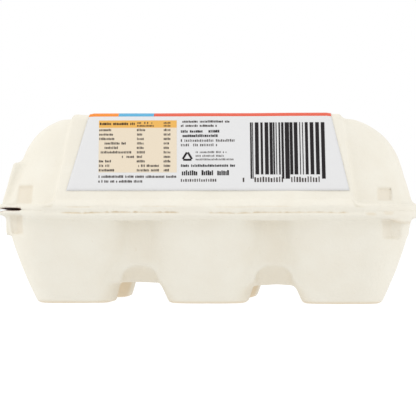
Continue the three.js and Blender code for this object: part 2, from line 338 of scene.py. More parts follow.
@dataclass(frozen=True)
class InkFinish:
    """Offset ink on coated paper: flat colour with the fine uneven lay of a printed solid."""

    name: str
    colour: str
    worn: str
    lay_mm: float = 0.6
    roughness: float = 0.45

    def build(self) -> bpy.types.Material:
        """Builds one ink's material.

        Returns:
            The material.
        """
        material, tree = blank_material(self.name)
        spot = add(tree, "ShaderNodeTexCoord").outputs["Object"]
        fine = {"Vector": spot, "Scale": 1 / (self.lay_mm * MM), "Detail": 3.0}
        lay = add(tree, "ShaderNodeTexNoise", fine)
        shades = {0: lay.outputs["Fac"], 6: linear(self.colour), 7: linear(self.worn)}
        colour = add(tree, "ShaderNodeMix", shades, data_type="RGBA").outputs[2]
        looks = {"Base Color": colour, "Roughness": self.roughness, "Specular IOR Level": 0.2}
        shader = add(tree, "ShaderNodeBsdfPrincipled", looks)
        add(tree, "ShaderNodeOutputMaterial", {"Surface": shader.outputs[0]})
        return material


INKS = (
    InkFinish(Finish.ORANGE.value, "e8852c", "ea8d39"),
    InkFinish(Finish.BLUE.value, "55a5cc", "61acd0"),
    InkFinish(Finish.CORAL.value, "d95b43", "dc644e"),
    InkFinish(Finish.AMBER.value, "e0ab55", "e3b15f"),
    InkFinish(Finish.SAND.value, "ddcfb8", "e0d3be"),
    InkFinish(Finish.BLACK.value, "151214", "231f21"),
    InkFinish(Finish.GREY.value, "3b3431", "4a423f"),
)


def finishes() -> Materials:
    """Builds every finish once and gives the materials by finish."""
    made = {Finish.PULP: PulpFinish().build(), Finish.PAPER: PaperFinish().build()}
    return made | {Finish(ink.name): ink.build() for ink in INKS}


# The pulp as a field of distances, negative inside


def merged(a: np.ndarray, b: np.ndarray, blend: float) -> np.ndarray:
    """Joins two fields with a fillet of about that size."""
    near = np.maximum(blend - np.abs(a - b), 0) / blend
    return np.minimum(a, b) - near * near * blend / 4


def common(a: np.ndarray, b: np.ndarray, blend: float) -> np.ndarray:
    """What lies in both fields, with its edge rounded by about that size."""
    return -merged(-a, -b, blend)


def rounded_box(x: np.ndarray, y: np.ndarray, half_x: Size, half_y: Size, corner: Size) -> np.ndarray:
    """Distance in plan from a rectangle with round corners.

    Args:
        x: Places along the carton.
        y: Places across it.
        half_x: Half the length.
        half_y: Half the width.
        corner: The corners' radius.

    Returns:
        Distances in millimetres, negative inside.
    """
    out_x = np.abs(x) - (half_x - corner)
    out_y = np.abs(y) - (half_y - corner)
    outside = np.sqrt(np.maximum(out_x, 0) ** 2 + np.maximum(out_y, 0) ** 2)
    return outside + np.minimum(np.maximum(out_x, out_y), 0) - corner


@dataclass
class Block:
    """A regular grid of points round a piece, in millimetres, on which its field is worked out."""

    low: Triple
    high: Triple
    step: float

    def __post_init__(self) -> None:
        """Lays out the three axes so that they broadcast against each other."""
        self.axes = [
            np.arange(low, high + self.step, self.step, dtype=np.float32)
            for low, high in zip(self.low, self.high)
        ]
        self.x = self.axes[0][:, None, None]
        self.y = self.axes[1][None, :, None]
        self.z = self.axes[2][None, None, :]

    def evened(self, values: np.ndarray) -> np.ndarray:
        """Divides a field by its slope, so that it measures millimetres near its surface.

        Args:
            values: A number for each point or place.

        Returns:
            The divided field.
        """
        full = np.broadcast_to(values, [len(axis) for axis in self.axes])
        slopes = np.gradient(full, self.step)
        steep = np.sqrt(sum(slope * slope for slope in slopes))
        return full / np.clip(steep, 0.7, 8.0)

    def noise(self, size: float, seed: int) -> np.ndarray:
        """Smooth noise of unit spread whose bumps have about that size.

        Args:
            size: The spacing of the random lattice, in millimetres.
            seed: The seed of the lattice.

        Returns:
            One number for each grid point.
        """
        weights = []
        for axis in self.axes:
            spots = (axis - axis[0]) / size
            cell = spots.astype(int)
            part = spots - cell
            table = np.zeros((len(axis), cell[-1] + 4), np.float32)
            rows = np.arange(len(axis))
            shares = (
                (1 - part) ** 3 / 6,
                (3 * part**3 - 6 * part**2 + 4) / 6,
                (-3 * part**3 + 3 * part**2 + 3 * part + 1) / 6,
                part**3 / 6,
            )
            for k, share in enumerate(shares):
                table[rows, cell + k] = share
            weights.append(table)
        lattice = np.random.default_rng(seed).standard_normal([table.shape[1] for table in weights])
        field = lattice.astype(np.float32)
        for table in weights:
            field = np.tensordot(field, table, axes=(0, 1))
        return field / field.std()

    def surface(self, field: np.ndarray) -> Shape:
        """Meshes the field's zero surface.

        Args:
            field: Distances in millimetres, negative inside.

        Returns:
            The points in millimetres and the quads.
        """
        band = 3.0
        grid = openvdb.FloatGrid()
        grid.background = band
        grid.copyFromArray(np.clip(field / self.step, -band, band).astype(np.float32))
        points, quads = grid.convertToQuads(isovalue=0.0)
        return points * self.step + np.array([axis[0] for axis in self.axes]), quads


def outline(x: np.ndarray, y: np.ndarray, inset: float, corner: float = RIM_CORNER) -> np.ndarray:
    """Distance in plan from the carton's rim, moved in by that much."""
    return rounded_box(x, y, HALF_LENGTH - inset, HALF_WIDTH - inset, corner)


@dataclass
class Seam:
    """The open slit between the lid's rim and the tray's rim, which waves and gapes as the pack is shut."""

    depth: float = 6.0
    half_gap: float = 0.05
    wave: float = 0.22
    lift: float = 0.45
    gape: float = 0.33
    closing_gape: float = 0.15
    pinch: float = 0.6
    lift_x: Marks = (-73.5, -70.5, -66.0, -58.0)
    gape_x: float = -66.0
    gape_y: float = -18.0
    # Past the hinge's two ends the flanges are pressed together.
    left_pinch_x: Marks = (-64.9, -63.7, -52.0, -50.0)
    right_pinch_x: Marks = (50.0, 52.0, 73.5, 76.0)
    # Torn places past the hinge's right end, from one place to another along the rim at a height.
    tears: tuple[Triple, ...] = ((57.0, 60.0, 31.8), (63.0, 66.0, 32.3))

    def middle(self, x: np.ndarray, y: np.ndarray) -> np.ndarray:
        """Height of the slit's middle at a place in plan.

        Args:
            x: Places along the carton.
            y: Places across it.

        Returns:
            Heights in millimetres.
        """
        lift = stretch(self.lift_x, x) * smooth_step(0.0, -20.0, y)
        ripple = np.sin(x / 9.1 + 0.7) * np.sin(y / 12.7 + 1.9) + 0.5 * np.sin(x / 4.3 + y / 5.1)
        return SEAM_Z + self.wave * ripple + self.lift * lift

    def opening(self, x: np.ndarray, y: np.ndarray) -> np.ndarray:
        """Half the slit's height at a place in plan, below 0 where it is pressed shut.

        Args:
            x: Places along the carton.
            y: Places across it.

        Returns:
            Half heights in millimetres.
        """
        wide = smooth_step(self.gape_x + 10, self.gape_x, x) * smooth_step(self.gape_y + 14, self.gape_y, y)
        uneven = 0.03 * np.sin(x / 6.7 + y / 8.3) + 0.02 * np.sin(x / 2.9 - y / 3.7)
        closing = self.closing_gape * smooth_step(-20.0, 10.0, y)
        pressed = stretch(self.left_pinch_x, x) + stretch(self.right_pinch_x, x)
        pressed = pressed * smooth_step(-30.0, -40.0, y)
        return self.half_gap + uneven + closing + self.gape * wide - self.pinch * pressed

    def neck(self, block: Block) -> np.ndarray:
        """Distance in plan from the solid behind the slit."""
        return outline(block.x, block.y, self.depth, RIM_CORNER - self.depth)

    def torn(self, points: np.ndarray) -> np.ndarray:
        """How warm the pulp is where the fold past the hinge's right end is torn.

        Args:
            points: The mesh's points in millimetres.

        Returns:
            One number for each point.
        """
        x, y, z = points.T
        warm = np.zeros(len(points))
        for start, end, height in self.tears:
            along = stretch((start - 0.6, start + 0.6, end - 0.6, end + 0.6), x)
            warm = warm + along * np.exp(-(((z - height) / 0.4) ** 2))
        return 0.3 * warm * (y < -40.0)

    def sunk(self, points: np.ndarray) -> np.ndarray:
        """How much painted shade each point gets deep in the slit, from 0 at its mouth to 1 where it is
        dark.

        Args:
            points: The mesh's points in millimetres.

        Returns:
            One number for each point.
        """
        x, y, z = points.T
        gap = self.opening(x, y)
        close = np.abs(z - self.middle(x, y)) < gap + 0.35
        inside = smooth_step(0.2, 1.3, -outline(x, y, 0.0))
        return np.where(close, inside, 0.0) * smooth_step(-0.05, 0.12, gap)


@dataclass
class Rim:
    """One flange round the carton, and its recess under the folded hinge."""

    low: float
    high: float
    edge: float = 1.2
    inset: float = 0.22
    hinge_half_length: float = 57.0
    hinge_recess: float = 1.3
    # How much is off its underside at the left end near the hinge, where the seam gapes.
    thinned: float = 0.0

    def field(self, block: Block) -> np.ndarray:
        """The flange's field on a block.

        Args:
            block: The grid.

        Returns:
            Distances in millimetres, negative inside.
        """
        plan = outline(block.x, block.y, self.inset)
        under_hinge = smooth_step(self.hinge_half_length, self.hinge_half_length - 4, np.abs(block.x))
        plan = plan + self.hinge_recess * under_hinge * smooth_step(-40.0, -48.0, block.y)
        gaping = smooth_step(-61.0, -66.0, block.x) * smooth_step(-18.0, -30.0, block.y)
        flat = np.maximum(self.low + self.thinned * gaping - block.z, block.z - self.high)
        return common(plan, flat, self.edge)


def outer_plan(block: Block) -> np.ndarray:
    """Distance in plan from the carton's outline, which nothing passes."""
    return outline(block.x, block.y, 0.05, RIM_CORNER - 1)


@dataclass(frozen=True)
class Notch:
    """A stacking notch sunk into the wall near a corner, alike on both long sides.

    Its floor follows the wall at a depth, and a groove may fold it in along its middle.
    """

    x: Pair
    z: Pair
    depth: float
    groove: float = 0.0
    clear_of_middle: float = 29.0
    draft: float = 0.7
    # Painted shade on the notch's floor, and how much more on one facet of its groove.
    shade_share: float = 0.1
    inner_shade_share: float = 0.0

    def painted_shade(self, points: np.ndarray) -> np.ndarray:
        """How much painted shade the notch's floor gets, most on the facet that faces the carton's nearer
        end.

        Args:
            points: The mesh's points in millimetres.

        Returns:
            One number for each point, 0 outside the notch.
        """
        x, y, z = points.T
        middle, half = sum(self.x) / 2, (self.x[1] - self.x[0]) / 2
        along = smooth_step(half + 0.4, half - 0.2, np.abs(x - middle))
        within = along * (np.abs(y) > self.clear_of_middle)
        low, high = self.z
        level = stretch((low - 0.4, low + 0.2, high - 0.2, high + 0.4), z)
        facet = smooth_step(0.4, -0.4, (x - middle) * math.copysign(1.0, middle))
        return within * level * (self.shade_share + self.inner_shade_share * facet)

    def field(self, block: Block, wall: np.ndarray) -> np.ndarray:
        """The notch's field.

        Args:
            block: The grid.
            wall: The field of the wall that it is sunk into.

        Returns:
            Distances in millimetres, negative where the notch is open.
        """
        middle, half = sum(self.x) / 2, (self.x[1] - self.x[0]) / 2
        away = np.abs(block.x - middle)
        floor = self.depth + self.groove * np.clip(1 - away / half, 0, 1)
        opened = self.draft * (np.clip(wall + floor, 0, floor + 0.6) - floor / 2)
        level = np.maximum(self.z[0] - block.z, block.z - self.z[1])
        sides = np.maximum(away - half - opened, self.clear_of_middle - np.abs(block.y))
        return np.maximum(np.maximum(sides, level - 0.5 * opened), -floor - wall)


@dataclass
class PulpSkin:
    """The uneven skin of the moulding, from wide dents to small lumps."""

    dent_mm: float = 13.0
    dent: float = 0.07
    lump_mm: float = 4.5
    lump: float = 0.03
    pimple_mm: float = 1.9
    pimple: float = 0.018

    def relief(self, block: Block, seed: int) -> np.ndarray:
        """How far the skin stands in or out at each grid point, in millimetres.

        Args:
            block: The grid.
            seed: The seed of its noise.

        Returns:
            One number for each grid point.
        """
        return (
            self.dent * block.noise(self.dent_mm, seed)
            + self.lump * block.noise(self.lump_mm, seed + 1)
            + self.pimple * block.noise(self.pimple_mm, seed + 2)
        )


@dataclass
class Moulding:
    """One half of the carton, above or below the seam: a form of pulp with its skin and its painted shade
    and tint.
    """

    skin: PulpSkin
    seam: Seam
    name: str
    seed: int
    step: float
    grid_low: Triple
    grid_high: Triple
    notches: tuple[Notch, ...]

    def field(self, block: Block) -> np.ndarray:
        """The piece's distances in millimetres, with its skin, which each half works out itself."""
        raise NotImplementedError

    def tint_and_shade(self, points: np.ndarray) -> np.ndarray:
        """The warm tint and painted shade away from the notches and the seam."""
        return np.zeros(len(points))

    def build(self, materials: Materials) -> None:
        """Builds and places the piece.

        Args:
            materials: The materials by finish.
        """
        block = Block(self.grid_low, self.grid_high, self.step)
        points, quads = block.surface(self.field(block))
        mesh = new_mesh(self.name, points, quads)
        # Painted shade: the slit and the notches are darkened toward brown, and the notches are tinted
        # warm; the warm tint also marks real tears.
        notch_shade = np.sum([notch.painted_shade(points) for notch in self.notches], axis=0)
        mark(mesh, "crease", self.seam.sunk(points) + DARKENED * notch_shade)
        mark(mesh, "tint_and_shade", self.tint_and_shade(points) + notch_shade + self.seam.torn(points))
        place(self.name, mesh, materials[Finish.PULP], "carton")


@dataclass
class Lid(Moulding):
    """The domed lid with its raised panel, rim, corner notches, end lug and closing slots."""

    name: str = "carton_lid"
    seed: int = 11
    step: float = 0.7
    grid_low: Triple = (-76.5, -54.0, 31.5)
    grid_high: Triple = (76.5, 54.0, 68.5)
    panel_top_half_length: float = 48.0
    panel_flare: float = 0.165
    panel_bevel: float = 1.5
    dome_top_z: float = 66.4
    dome_spring_z: float = 48.0
    dome_spring_x: float = 69.85
    dome_flat_x: float = 44.5
    dome_rounding: float = 2.3
    dome_end_draft: float = 0.3
    dome_shift: float = -0.6
    dome_foot_y: float = 49.5
    dome_shoulder: float = 7.0
    dome_corner: float = 30.0
    dome_corner_top: float = 10.0
    rim_depth: float = 2.4
    lug_top_z: float = 50.4
    lug_y: tuple[float, float] = (-28.0, -17.0)
    lug_top_x: float = 70.9
    lug_draft: float = 0.285
    lug_reach: float = 74.6
    lug_inner_x: float = 60.0
    # The notches' floors are darkened with painted shade.
    notches: tuple[Notch, ...] = (
        Notch((-68.3, -61.9), (35.7, 41.8), depth=0.9, draft=1.3, shade_share=0.12),
        Notch((60.6, 65.2), (36.6, 40.8), depth=0.8),
    )
    tongue_x: tuple[float, float] = (-25.0, 25.0)
    slot_half_length: float = 9.7
    slot_y: float = 46.1
    slot_top_z: float = 39.3
    left_swell: float = 0.25

    def half_length(self, z: np.ndarray) -> np.ndarray:
        """Half length of the dome at a height.

        Args:
            z: Heights.

        Returns:
            Half lengths in millimetres.
        """
        rise = self.dome_top_z - self.dome_spring_z
        share = np.clip((z - self.dome_spring_z) / rise, 0, 1)
        bend = 1 - (1 - share**self.dome_rounding) ** (1 / self.dome_rounding)
        straight = self.dome_spring_x + (self.dome_spring_z - z) * self.dome_end_draft
        left_at_top = self.dome_spring_x - rise * self.dome_end_draft - self.dome_flat_x
        return straight - left_at_top * bend

    def half_width(self, z: np.ndarray) -> np.ndarray:
        """Half width of the dome at a height.

        Args:
            z: Heights.

        Returns:
            Half widths in millimetres.
        """
        slope = math.atan(PANEL_DRAFT)
        centre_z = self.dome_top_z - self.dome_shoulder
        line = self.dome_foot_y - PANEL_DRAFT * (z - PANEL_FOOT_Z)
        line_at_centre = self.dome_foot_y - PANEL_DRAFT * (centre_z - PANEL_FOOT_Z)
        centre_y = line_at_centre - self.dome_shoulder / math.cos(slope)
        rise = np.clip(z - centre_z, 0, self.dome_shoulder * 0.999)
        round_part = centre_y + np.sqrt(self.dome_shoulder**2 - rise**2)
        return np.where(z <= centre_z + self.dome_shoulder * math.sin(slope), line, round_part)

    def dome(self, block: Block) -> np.ndarray:
        """The dome's field.

        Args:
            block: The grid.

        Returns:
            Distances in millimetres, negative inside.
        """
        share = np.clip((block.z - self.dome_spring_z) / (self.dome_top_z - self.dome_spring_z), 0, 1)
        corner = self.dome_corner + (self.dome_corner_top - self.dome_corner) * share**1.5
        half_x, half_y = self.half_length(block.z), self.half_width(block.z)
        plan = rounded_box(block.x - self.dome_shift, block.y, half_x, half_y, corner)
        return common(block.evened(plan), block.z - self.dome_top_z, 1.5)

    def panel(self, block: Block) -> np.ndarray:
        """The raised panel's field: two sloping flanks, round shoulders and a flat top.

        Args:
            block: The grid.

        Returns:
            Distances in millimetres, negative inside.
        """
        section = panel_distance(np.abs(block.y), block.z)
        ends = np.abs(block.x) - (self.panel_top_half_length + (PANEL_TOP_Z - block.z) * self.panel_flare)
        return common(section, ends + 0.2, self.panel_bevel)

    def lug(self, block: Block) -> np.ndarray:
        """The field of the stacking lug at the left end, near the hinge.

        Args:
            block: The grid.

        Returns:
            Distances in millimetres, negative inside.
        """
        reach = np.minimum(self.lug_top_x + (self.lug_top_z - block.z) * self.lug_draft, self.lug_reach)
        out = -block.x - reach
        across = np.abs(block.y - sum(self.lug_y) / 2) - (self.lug_y[1] - self.lug_y[0]) / 2
        inner = block.x + self.lug_inner_x
        level = np.maximum(block.z - self.lug_top_z, SEAM_Z + 1 - block.z)
        return common(common(np.maximum(out, inner), across, 1.6), level, 0.8)

    def slots(self, block: Block) -> np.ndarray:
        """The field of the slots that the closing tongues stand in."""
        along = np.min([np.abs(block.x - x) for x in self.tongue_x], axis=0) - self.slot_half_length
        return np.maximum(np.maximum(along, self.slot_y - block.y), block.z - self.slot_top_z)

    def field(self, block: Block) -> np.ndarray:
        """The whole lid's field, with its skin.

        Args:
            block: The grid.

        Returns:
            Distances in millimetres, negative inside.
        """
        dome = self.dome(block)
        # The left shoulder and the panel's bare left end stand a little proud.
        shoulder = smooth_step(-43.6, -46.0, block.x) * smooth_step(50.0, 58.0, block.z)
        body = merged(dome, self.panel(block), 1.2) - self.left_swell * shoulder
        body = merged(body, self.lug(block), 2.2)
        body = common(body, -self.slots(block), 0.5)
        body = merged(body, Rim(SEAM_Z - 1, SEAM_Z + self.rim_depth).field(block), 2.2)
        for notch in self.notches:
            body = common(body, -notch.field(block, dome), 0.3)
        body = body + self.skin.relief(block, self.seed) * self.calm(block)
        foot = self.seam.middle(block.x, block.y) + self.seam.opening(block.x, block.y)
        body = common(body, foot - block.z, 0.5)
        body = np.maximum(body, outer_plan(block))
        neck = np.maximum(self.seam.neck(block), np.abs(block.z - SEAM_Z - 0.6) - 1.0)
        return np.minimum(body, neck)

    def calm(self, block: Block) -> np.ndarray:
        """How much of the relief is left: less under the label, which was pressed on a flat.

        Args:
            block: The grid.

        Returns:
            Shares of the relief.
        """
        covered = smooth_step(52.0, 46.0, np.abs(block.x) - (PANEL_TOP_Z - block.z) * 0.25)
        raised = smooth_step(38.0, 41.0, block.z)
        return 1 - 0.6 * covered * raised


def panel_distance(across: np.ndarray, z: np.ndarray) -> np.ndarray:
    """Distance from the section of the raised panel, by its flank, its shoulder or its top.

    Args:
        across: Distance from the middle across the carton.
        z: Height.

    Returns:
        Distances in millimetres, negative inside.
    """
    slope = math.atan(PANEL_DRAFT)
    flank = (across - PANEL_FOOT_Y + PANEL_DRAFT * (z - PANEL_FOOT_Z)) * math.cos(slope)
    centre_z = PANEL_TOP_Z - PANEL_SHOULDER
    centre_y = PANEL_FOOT_Y - PANEL_DRAFT * (centre_z - PANEL_FOOT_Z) - PANEL_SHOULDER / math.cos(slope)
    arm_y = across - centre_y
    arm_z = z - centre_z
    angle = np.arctan2(arm_z, arm_y)
    round_part = np.sqrt(arm_y**2 + arm_z**2) - PANEL_SHOULDER
    straight = np.maximum(flank, z - PANEL_TOP_Z)
    return np.where((angle > slope) & (angle < math.pi / 2), round_part, straight)


@dataclass
class Tray(Moulding):
    """Six cups joined above arched tunnels, with the rim, corner notches, end lugs and closing tongues."""

    name: str = "carton_tray"
    seed: int = 41
    step: float = 0.72
    grid_low: Triple = (-76.5, -54.0, -1.5)
    grid_high: Triple = (76.5, 54.0, 40.0)
    pitch_x: float = 47.6
    pitch_y: float = 49.0
    column_shifts: Triple = (0.25, 0.15, 0.35)
    # How much is off each column's right side at its foot, and how much more for each millimetre up.
    column_trims: tuple[Pair, ...] = ((1.2, 0.2), (0.45, 0.1), (0.0, 0.0))
    cup_knee: float = 15.05
    cup_knee_z: float = 2.6
    cup_mouth: float = 24.2
    cup_mouth_z: float = 30.5
    cup_belly: float = 1.38
    cup_rounding: float = 0.62
    floor_rounding: float = 1.5
    core_foot_z: float = 6.75
    core_foot_lean: float = 0.45
    core_valley: float = 5.0
    core_draft: float = 0.25
    core_corner: float = 14.0
    arch_half_width: float = 6.4
    arch_foot_half_width: float = 16.0
    arch_spring_z: float = 9.2
    arch_top_z: float = 13.8
    vault_y: tuple[float, float] = (38.0, 22.0)
    vault_x: tuple[float, float] = (61.0, 45.0)
    web_half_depth: float = 10.0
    end_web_x: float = 40.0
    rim_depth: float = 2.55
    rim_thinned: float = 1.1
    fold_x: Triple = (62.5, 70.0, 72.0)
    fold_drop: float = 1.6
    fold_inset: float = 0.7
    lug_foot_z: float = 24.2
    lug_x: float = 72.5
    lug_x_right: float = 71.4
    lug_y: tuple[float, float] = (24.0, 34.0)
    # The notches' floors are darkened with painted shade.
    notches: tuple[Notch, ...] = (
        Notch(
            (-69.8, -64.5),
            (25.0, 31.4),
            depth=0.5,
            groove=1.2,
            clear_of_middle=35.0,
            shade_share=0.08,
            inner_shade_share=0.04,
        ),
        Notch((62.4, 68.5), (23.5, 30.2), depth=0.5, groove=1.4, shade_share=0.03, inner_shade_share=0.03),
    )
    tongue_x: tuple[float, float] = (-25.0, 25.0)
    tongue_half_length: float = 9.0
    tongue_y: float = 50.2
    tongue_depth: float = 3.4
    tongue_top_z: float = 38.6

    def cup_half_width(self, z: np.ndarray) -> np.ndarray:
        """Half width of a cup at a height.

        Args:
            z: Heights.

        Returns:
            Half widths in millimetres.
        """
        share = (z - self.cup_knee_z) / (self.cup_mouth_z - self.cup_knee_z)
        wall = 1 - (1 - np.clip(share, 0, 1)) ** self.cup_belly
        below = self.cup_belly * np.minimum(share, 0)
        return self.cup_knee + (self.cup_mouth - self.cup_knee) * (wall + below)

    def cups(self, block: Block) -> np.ndarray:
        """The field of the six cups. Folding the plan at the pitch makes all six at once.

        Args:
            block: The grid.

        Returns:
            Distances in millimetres, negative inside.
        """
        number = np.clip(np.round(block.x / self.pitch_x), -1, 1)
        column = number * self.pitch_x + np.array(self.column_shifts)[number.astype(int) + 1]
        row = np.where(block.y < 0, -0.5, 0.5) * self.pitch_y
        half = self.cup_half_width(block.z)
        foot_trim, rising_trim = np.array(self.column_trims).T[:, number.astype(int) + 1]
        trim = (foot_trim + rising_trim * block.z) * smooth_step(18.0, 9.0, block.z)
        across = block.x - column
        across = across + trim * (across > 0)
        plan = rounded_box(across, block.y - row, half, half, half * self.cup_rounding)
        slope = np.gradient(half, self.step, axis=2)
        return common(plan / np.sqrt(1 + slope**2), -block.z, self.floor_rounding)

    def core(self, block: Block) -> np.ndarray:
        """The field of the core that joins the cups.

        Args:
            block: The grid.

        Returns:
            Distances in millimetres, negative inside.
        """
        reach = self.cup_mouth - self.core_valley - (self.cup_mouth_z - block.z) * self.core_draft
        half_x, half_y = self.pitch_x + reach, self.pitch_y / 2 + reach
        plan = rounded_box(block.x, block.y, half_x, half_y, self.core_corner)
        foot = self.core_foot_z - self.core_foot_lean * np.tanh(block.x / 6.0)
        return common(plan, foot - block.z, 1.0)

    def arch(self, across: np.ndarray, z: np.ndarray) -> np.ndarray:
        """Distance from the section of an arched tunnel, negative in its opening.

        Args:
            across: Distances across from the middle.
            z: Heights.

        Returns:
            Distances in millimetres, negative inside.
        """
        rise = self.arch_top_z - self.arch_spring_z
        above = np.maximum(z - self.arch_spring_z, 0) * self.arch_half_width / rise
        crown = np.sqrt(across**2 + above**2) - self.arch_half_width
        lean = (self.arch_foot_half_width - self.arch_half_width) / (self.arch_spring_z + 1)
        legs = across - self.arch_half_width + (z - self.arch_spring_z) * lean
        legs = legs / math.sqrt(1 + lean**2)
        return np.where(z > self.arch_spring_z, crown * 0.8, legs)

    def vault_drop(self, away: np.ndarray, stretch: Pair) -> np.ndarray:
        """How far a tunnel's ceiling has come down, between its mouth and its end."""
        return (self.arch_top_z - self.core_foot_z + 0.5) * smooth_step(*stretch, away)

    def tunnels(self, block: Block) -> np.ndarray:
        """The field of the vaults that run in under the core from all four sides.

        Args:
            block: The grid.

        Returns:
            Distances in millimetres, negative inside.
        """
        gap_shift = (self.column_shifts[0] + 2 * self.column_shifts[1] + self.column_shifts[2]) / 4
        near_gap = np.abs(np.abs(block.x - gap_shift) - self.pitch_x / 2)
        drop_y = self.vault_drop(np.abs(block.y), self.vault_y)
        drop_x = self.vault_drop(np.abs(block.x), self.vault_x)
        along_y = np.maximum(self.arch(near_gap, block.z + drop_y), self.web_half_depth - np.abs(block.y))
        along_x = np.maximum(self.arch(np.abs(block.y), block.z + drop_x), self.end_web_x - np.abs(block.x))
        return np.minimum(along_y, along_x)

    def lugs(self, block: Block) -> np.ndarray:
        """The field of the four end lugs.

        Args:
            block: The grid.

        Returns:
            Distances in millimetres, negative inside.
        """
        out = np.abs(block.x) - np.where(block.x < 0, self.lug_x, self.lug_x_right)
        across = np.abs(np.abs(block.y) - sum(self.lug_y) / 2) - (self.lug_y[1] - self.lug_y[0]) / 2
        inner = self.lug_x - 8.0 - np.abs(block.x)
        level = np.maximum(self.lug_foot_z - block.z, block.z - SEAM_Z + 0.8)
        return common(common(np.maximum(out, inner), across, 0.8), level, 0.8)

    def fold_foot(self, x: np.ndarray) -> np.ndarray:
        """How low the flange's folded corner hangs at x, at the hinge's right end."""
        start, full, _ = self.fold_x
        return SEAM_Z - self.rim_depth - self.fold_drop * smooth_step(start, full, x)

    def folded_corner(self, block: Block) -> np.ndarray:
        """The field of the flange's corner that is folded down.

        Args:
            block: The grid.

        Returns:
            Distances in millimetres, negative inside.
        """
        plan = outline(block.x, block.y, self.fold_inset)
        level = np.maximum(self.fold_foot(block.x) - block.z, block.z - SEAM_Z + 1.0)
        sides = np.maximum(self.fold_x[0] - block.x, block.x - self.fold_x[2])
        return np.maximum(common(plan, level, 0.5), np.maximum(sides, block.y + 30.0))

    def tongues(self, block: Block) -> np.ndarray:
        """The field of the two tongues that hold the lid shut.

        Args:
            block: The grid.

        Returns:
            Distances in millimetres, negative inside.
        """
        along = np.min([np.abs(block.x - x) for x in self.tongue_x], axis=0)
        middle = self.tongue_y - self.tongue_depth / 2
        plan = rounded_box(along, block.y - middle, self.tongue_half_length, self.tongue_depth / 2, 1.5)
        level = np.maximum(SEAM_Z - 1.5 - block.z, block.z - self.tongue_top_z)
        return common(plan, level, 1.6)

    def field(self, block: Block) -> np.ndarray:
        """The whole tray's field, with its skin.

        Args:
            block: The grid.

        Returns:
            Distances in millimetres, negative inside.
        """
        cups = self.cups(block)
        body = common(self.core(block), -self.tunnels(block), 0.7)
        body = merged(body, cups, 1.4)
        body = merged(body, self.lugs(block), 0.9)
        rim = Rim(SEAM_Z - self.rim_depth, SEAM_Z + 1, thinned=self.rim_thinned)
        body = merged(body, rim.field(block), 2.0)
        for notch in self.notches:
            body = common(body, -notch.field(block, cups), 0.3)
        body = merged(body, self.folded_corner(block), 0.5)
        body = body + self.skin.relief(block, self.seed)
        top = self.seam.middle(block.x, block.y) - self.seam.opening(block.x, block.y)
        body = common(body, block.z - top, 0.5)
        neck = np.maximum(self.seam.neck(block), np.abs(block.z - SEAM_Z + 0.6) - 1.0)
        body = np.minimum(body, neck)
        tongues = self.tongues(block) + 0.3 * self.skin.relief(block, self.seed + 5)
        body = merged(body, tongues, 0.4)
        body = np.maximum(body, outer_plan(block))
        return common(body, 0.02 - block.z, 0.3)

    def tint_and_shade(self, points: np.ndarray) -> np.ndarray:
        """Painted shade in a warm tone: most between the cups under the core, in the valleys between cups
        and as a painted contact shadow on the feet, with a warm line along the folded corner's edge.

        Args:
            points: The mesh's points in millimetres.

        Returns:
            One number for each point.
        """
        x, y, z = np.abs(points.T)
        # Painted shade under the core and between the cups, where light reaches only by bouncing.
        vault = 0.1 * smooth_step(39.0, 34.0, y) * smooth_step(62.0, 56.0, x)
        between = 0.3 * smooth_step(22.0, 15.0, y) * smooth_step(50.0, 42.0, x)
        under = (vault + between) * stretch((0.0, 1.2, 12.0, 15.0), z)
        # A painted contact shadow along the feet.
        contact_shadow = 0.35 * smooth_step(1.3, 0.3, z)
        # Painted shade in the valleys between cups near the rim.
        valley = 0.07 * np.exp(-(((x - self.pitch_x / 2) / 7.0) ** 2))
        valley = valley * smooth_step(12.0, 16.0, z) * (y > 30.0)
        fold = 0.16 * np.exp(-(((z - self.fold_foot(points[:, 0])) / 0.5) ** 2)) * (points[:, 1] < -30.0)
        return under + contact_shadow + valley + fold * stretch((64.5, 66.5, 72.0, 73.0), points[:, 0])


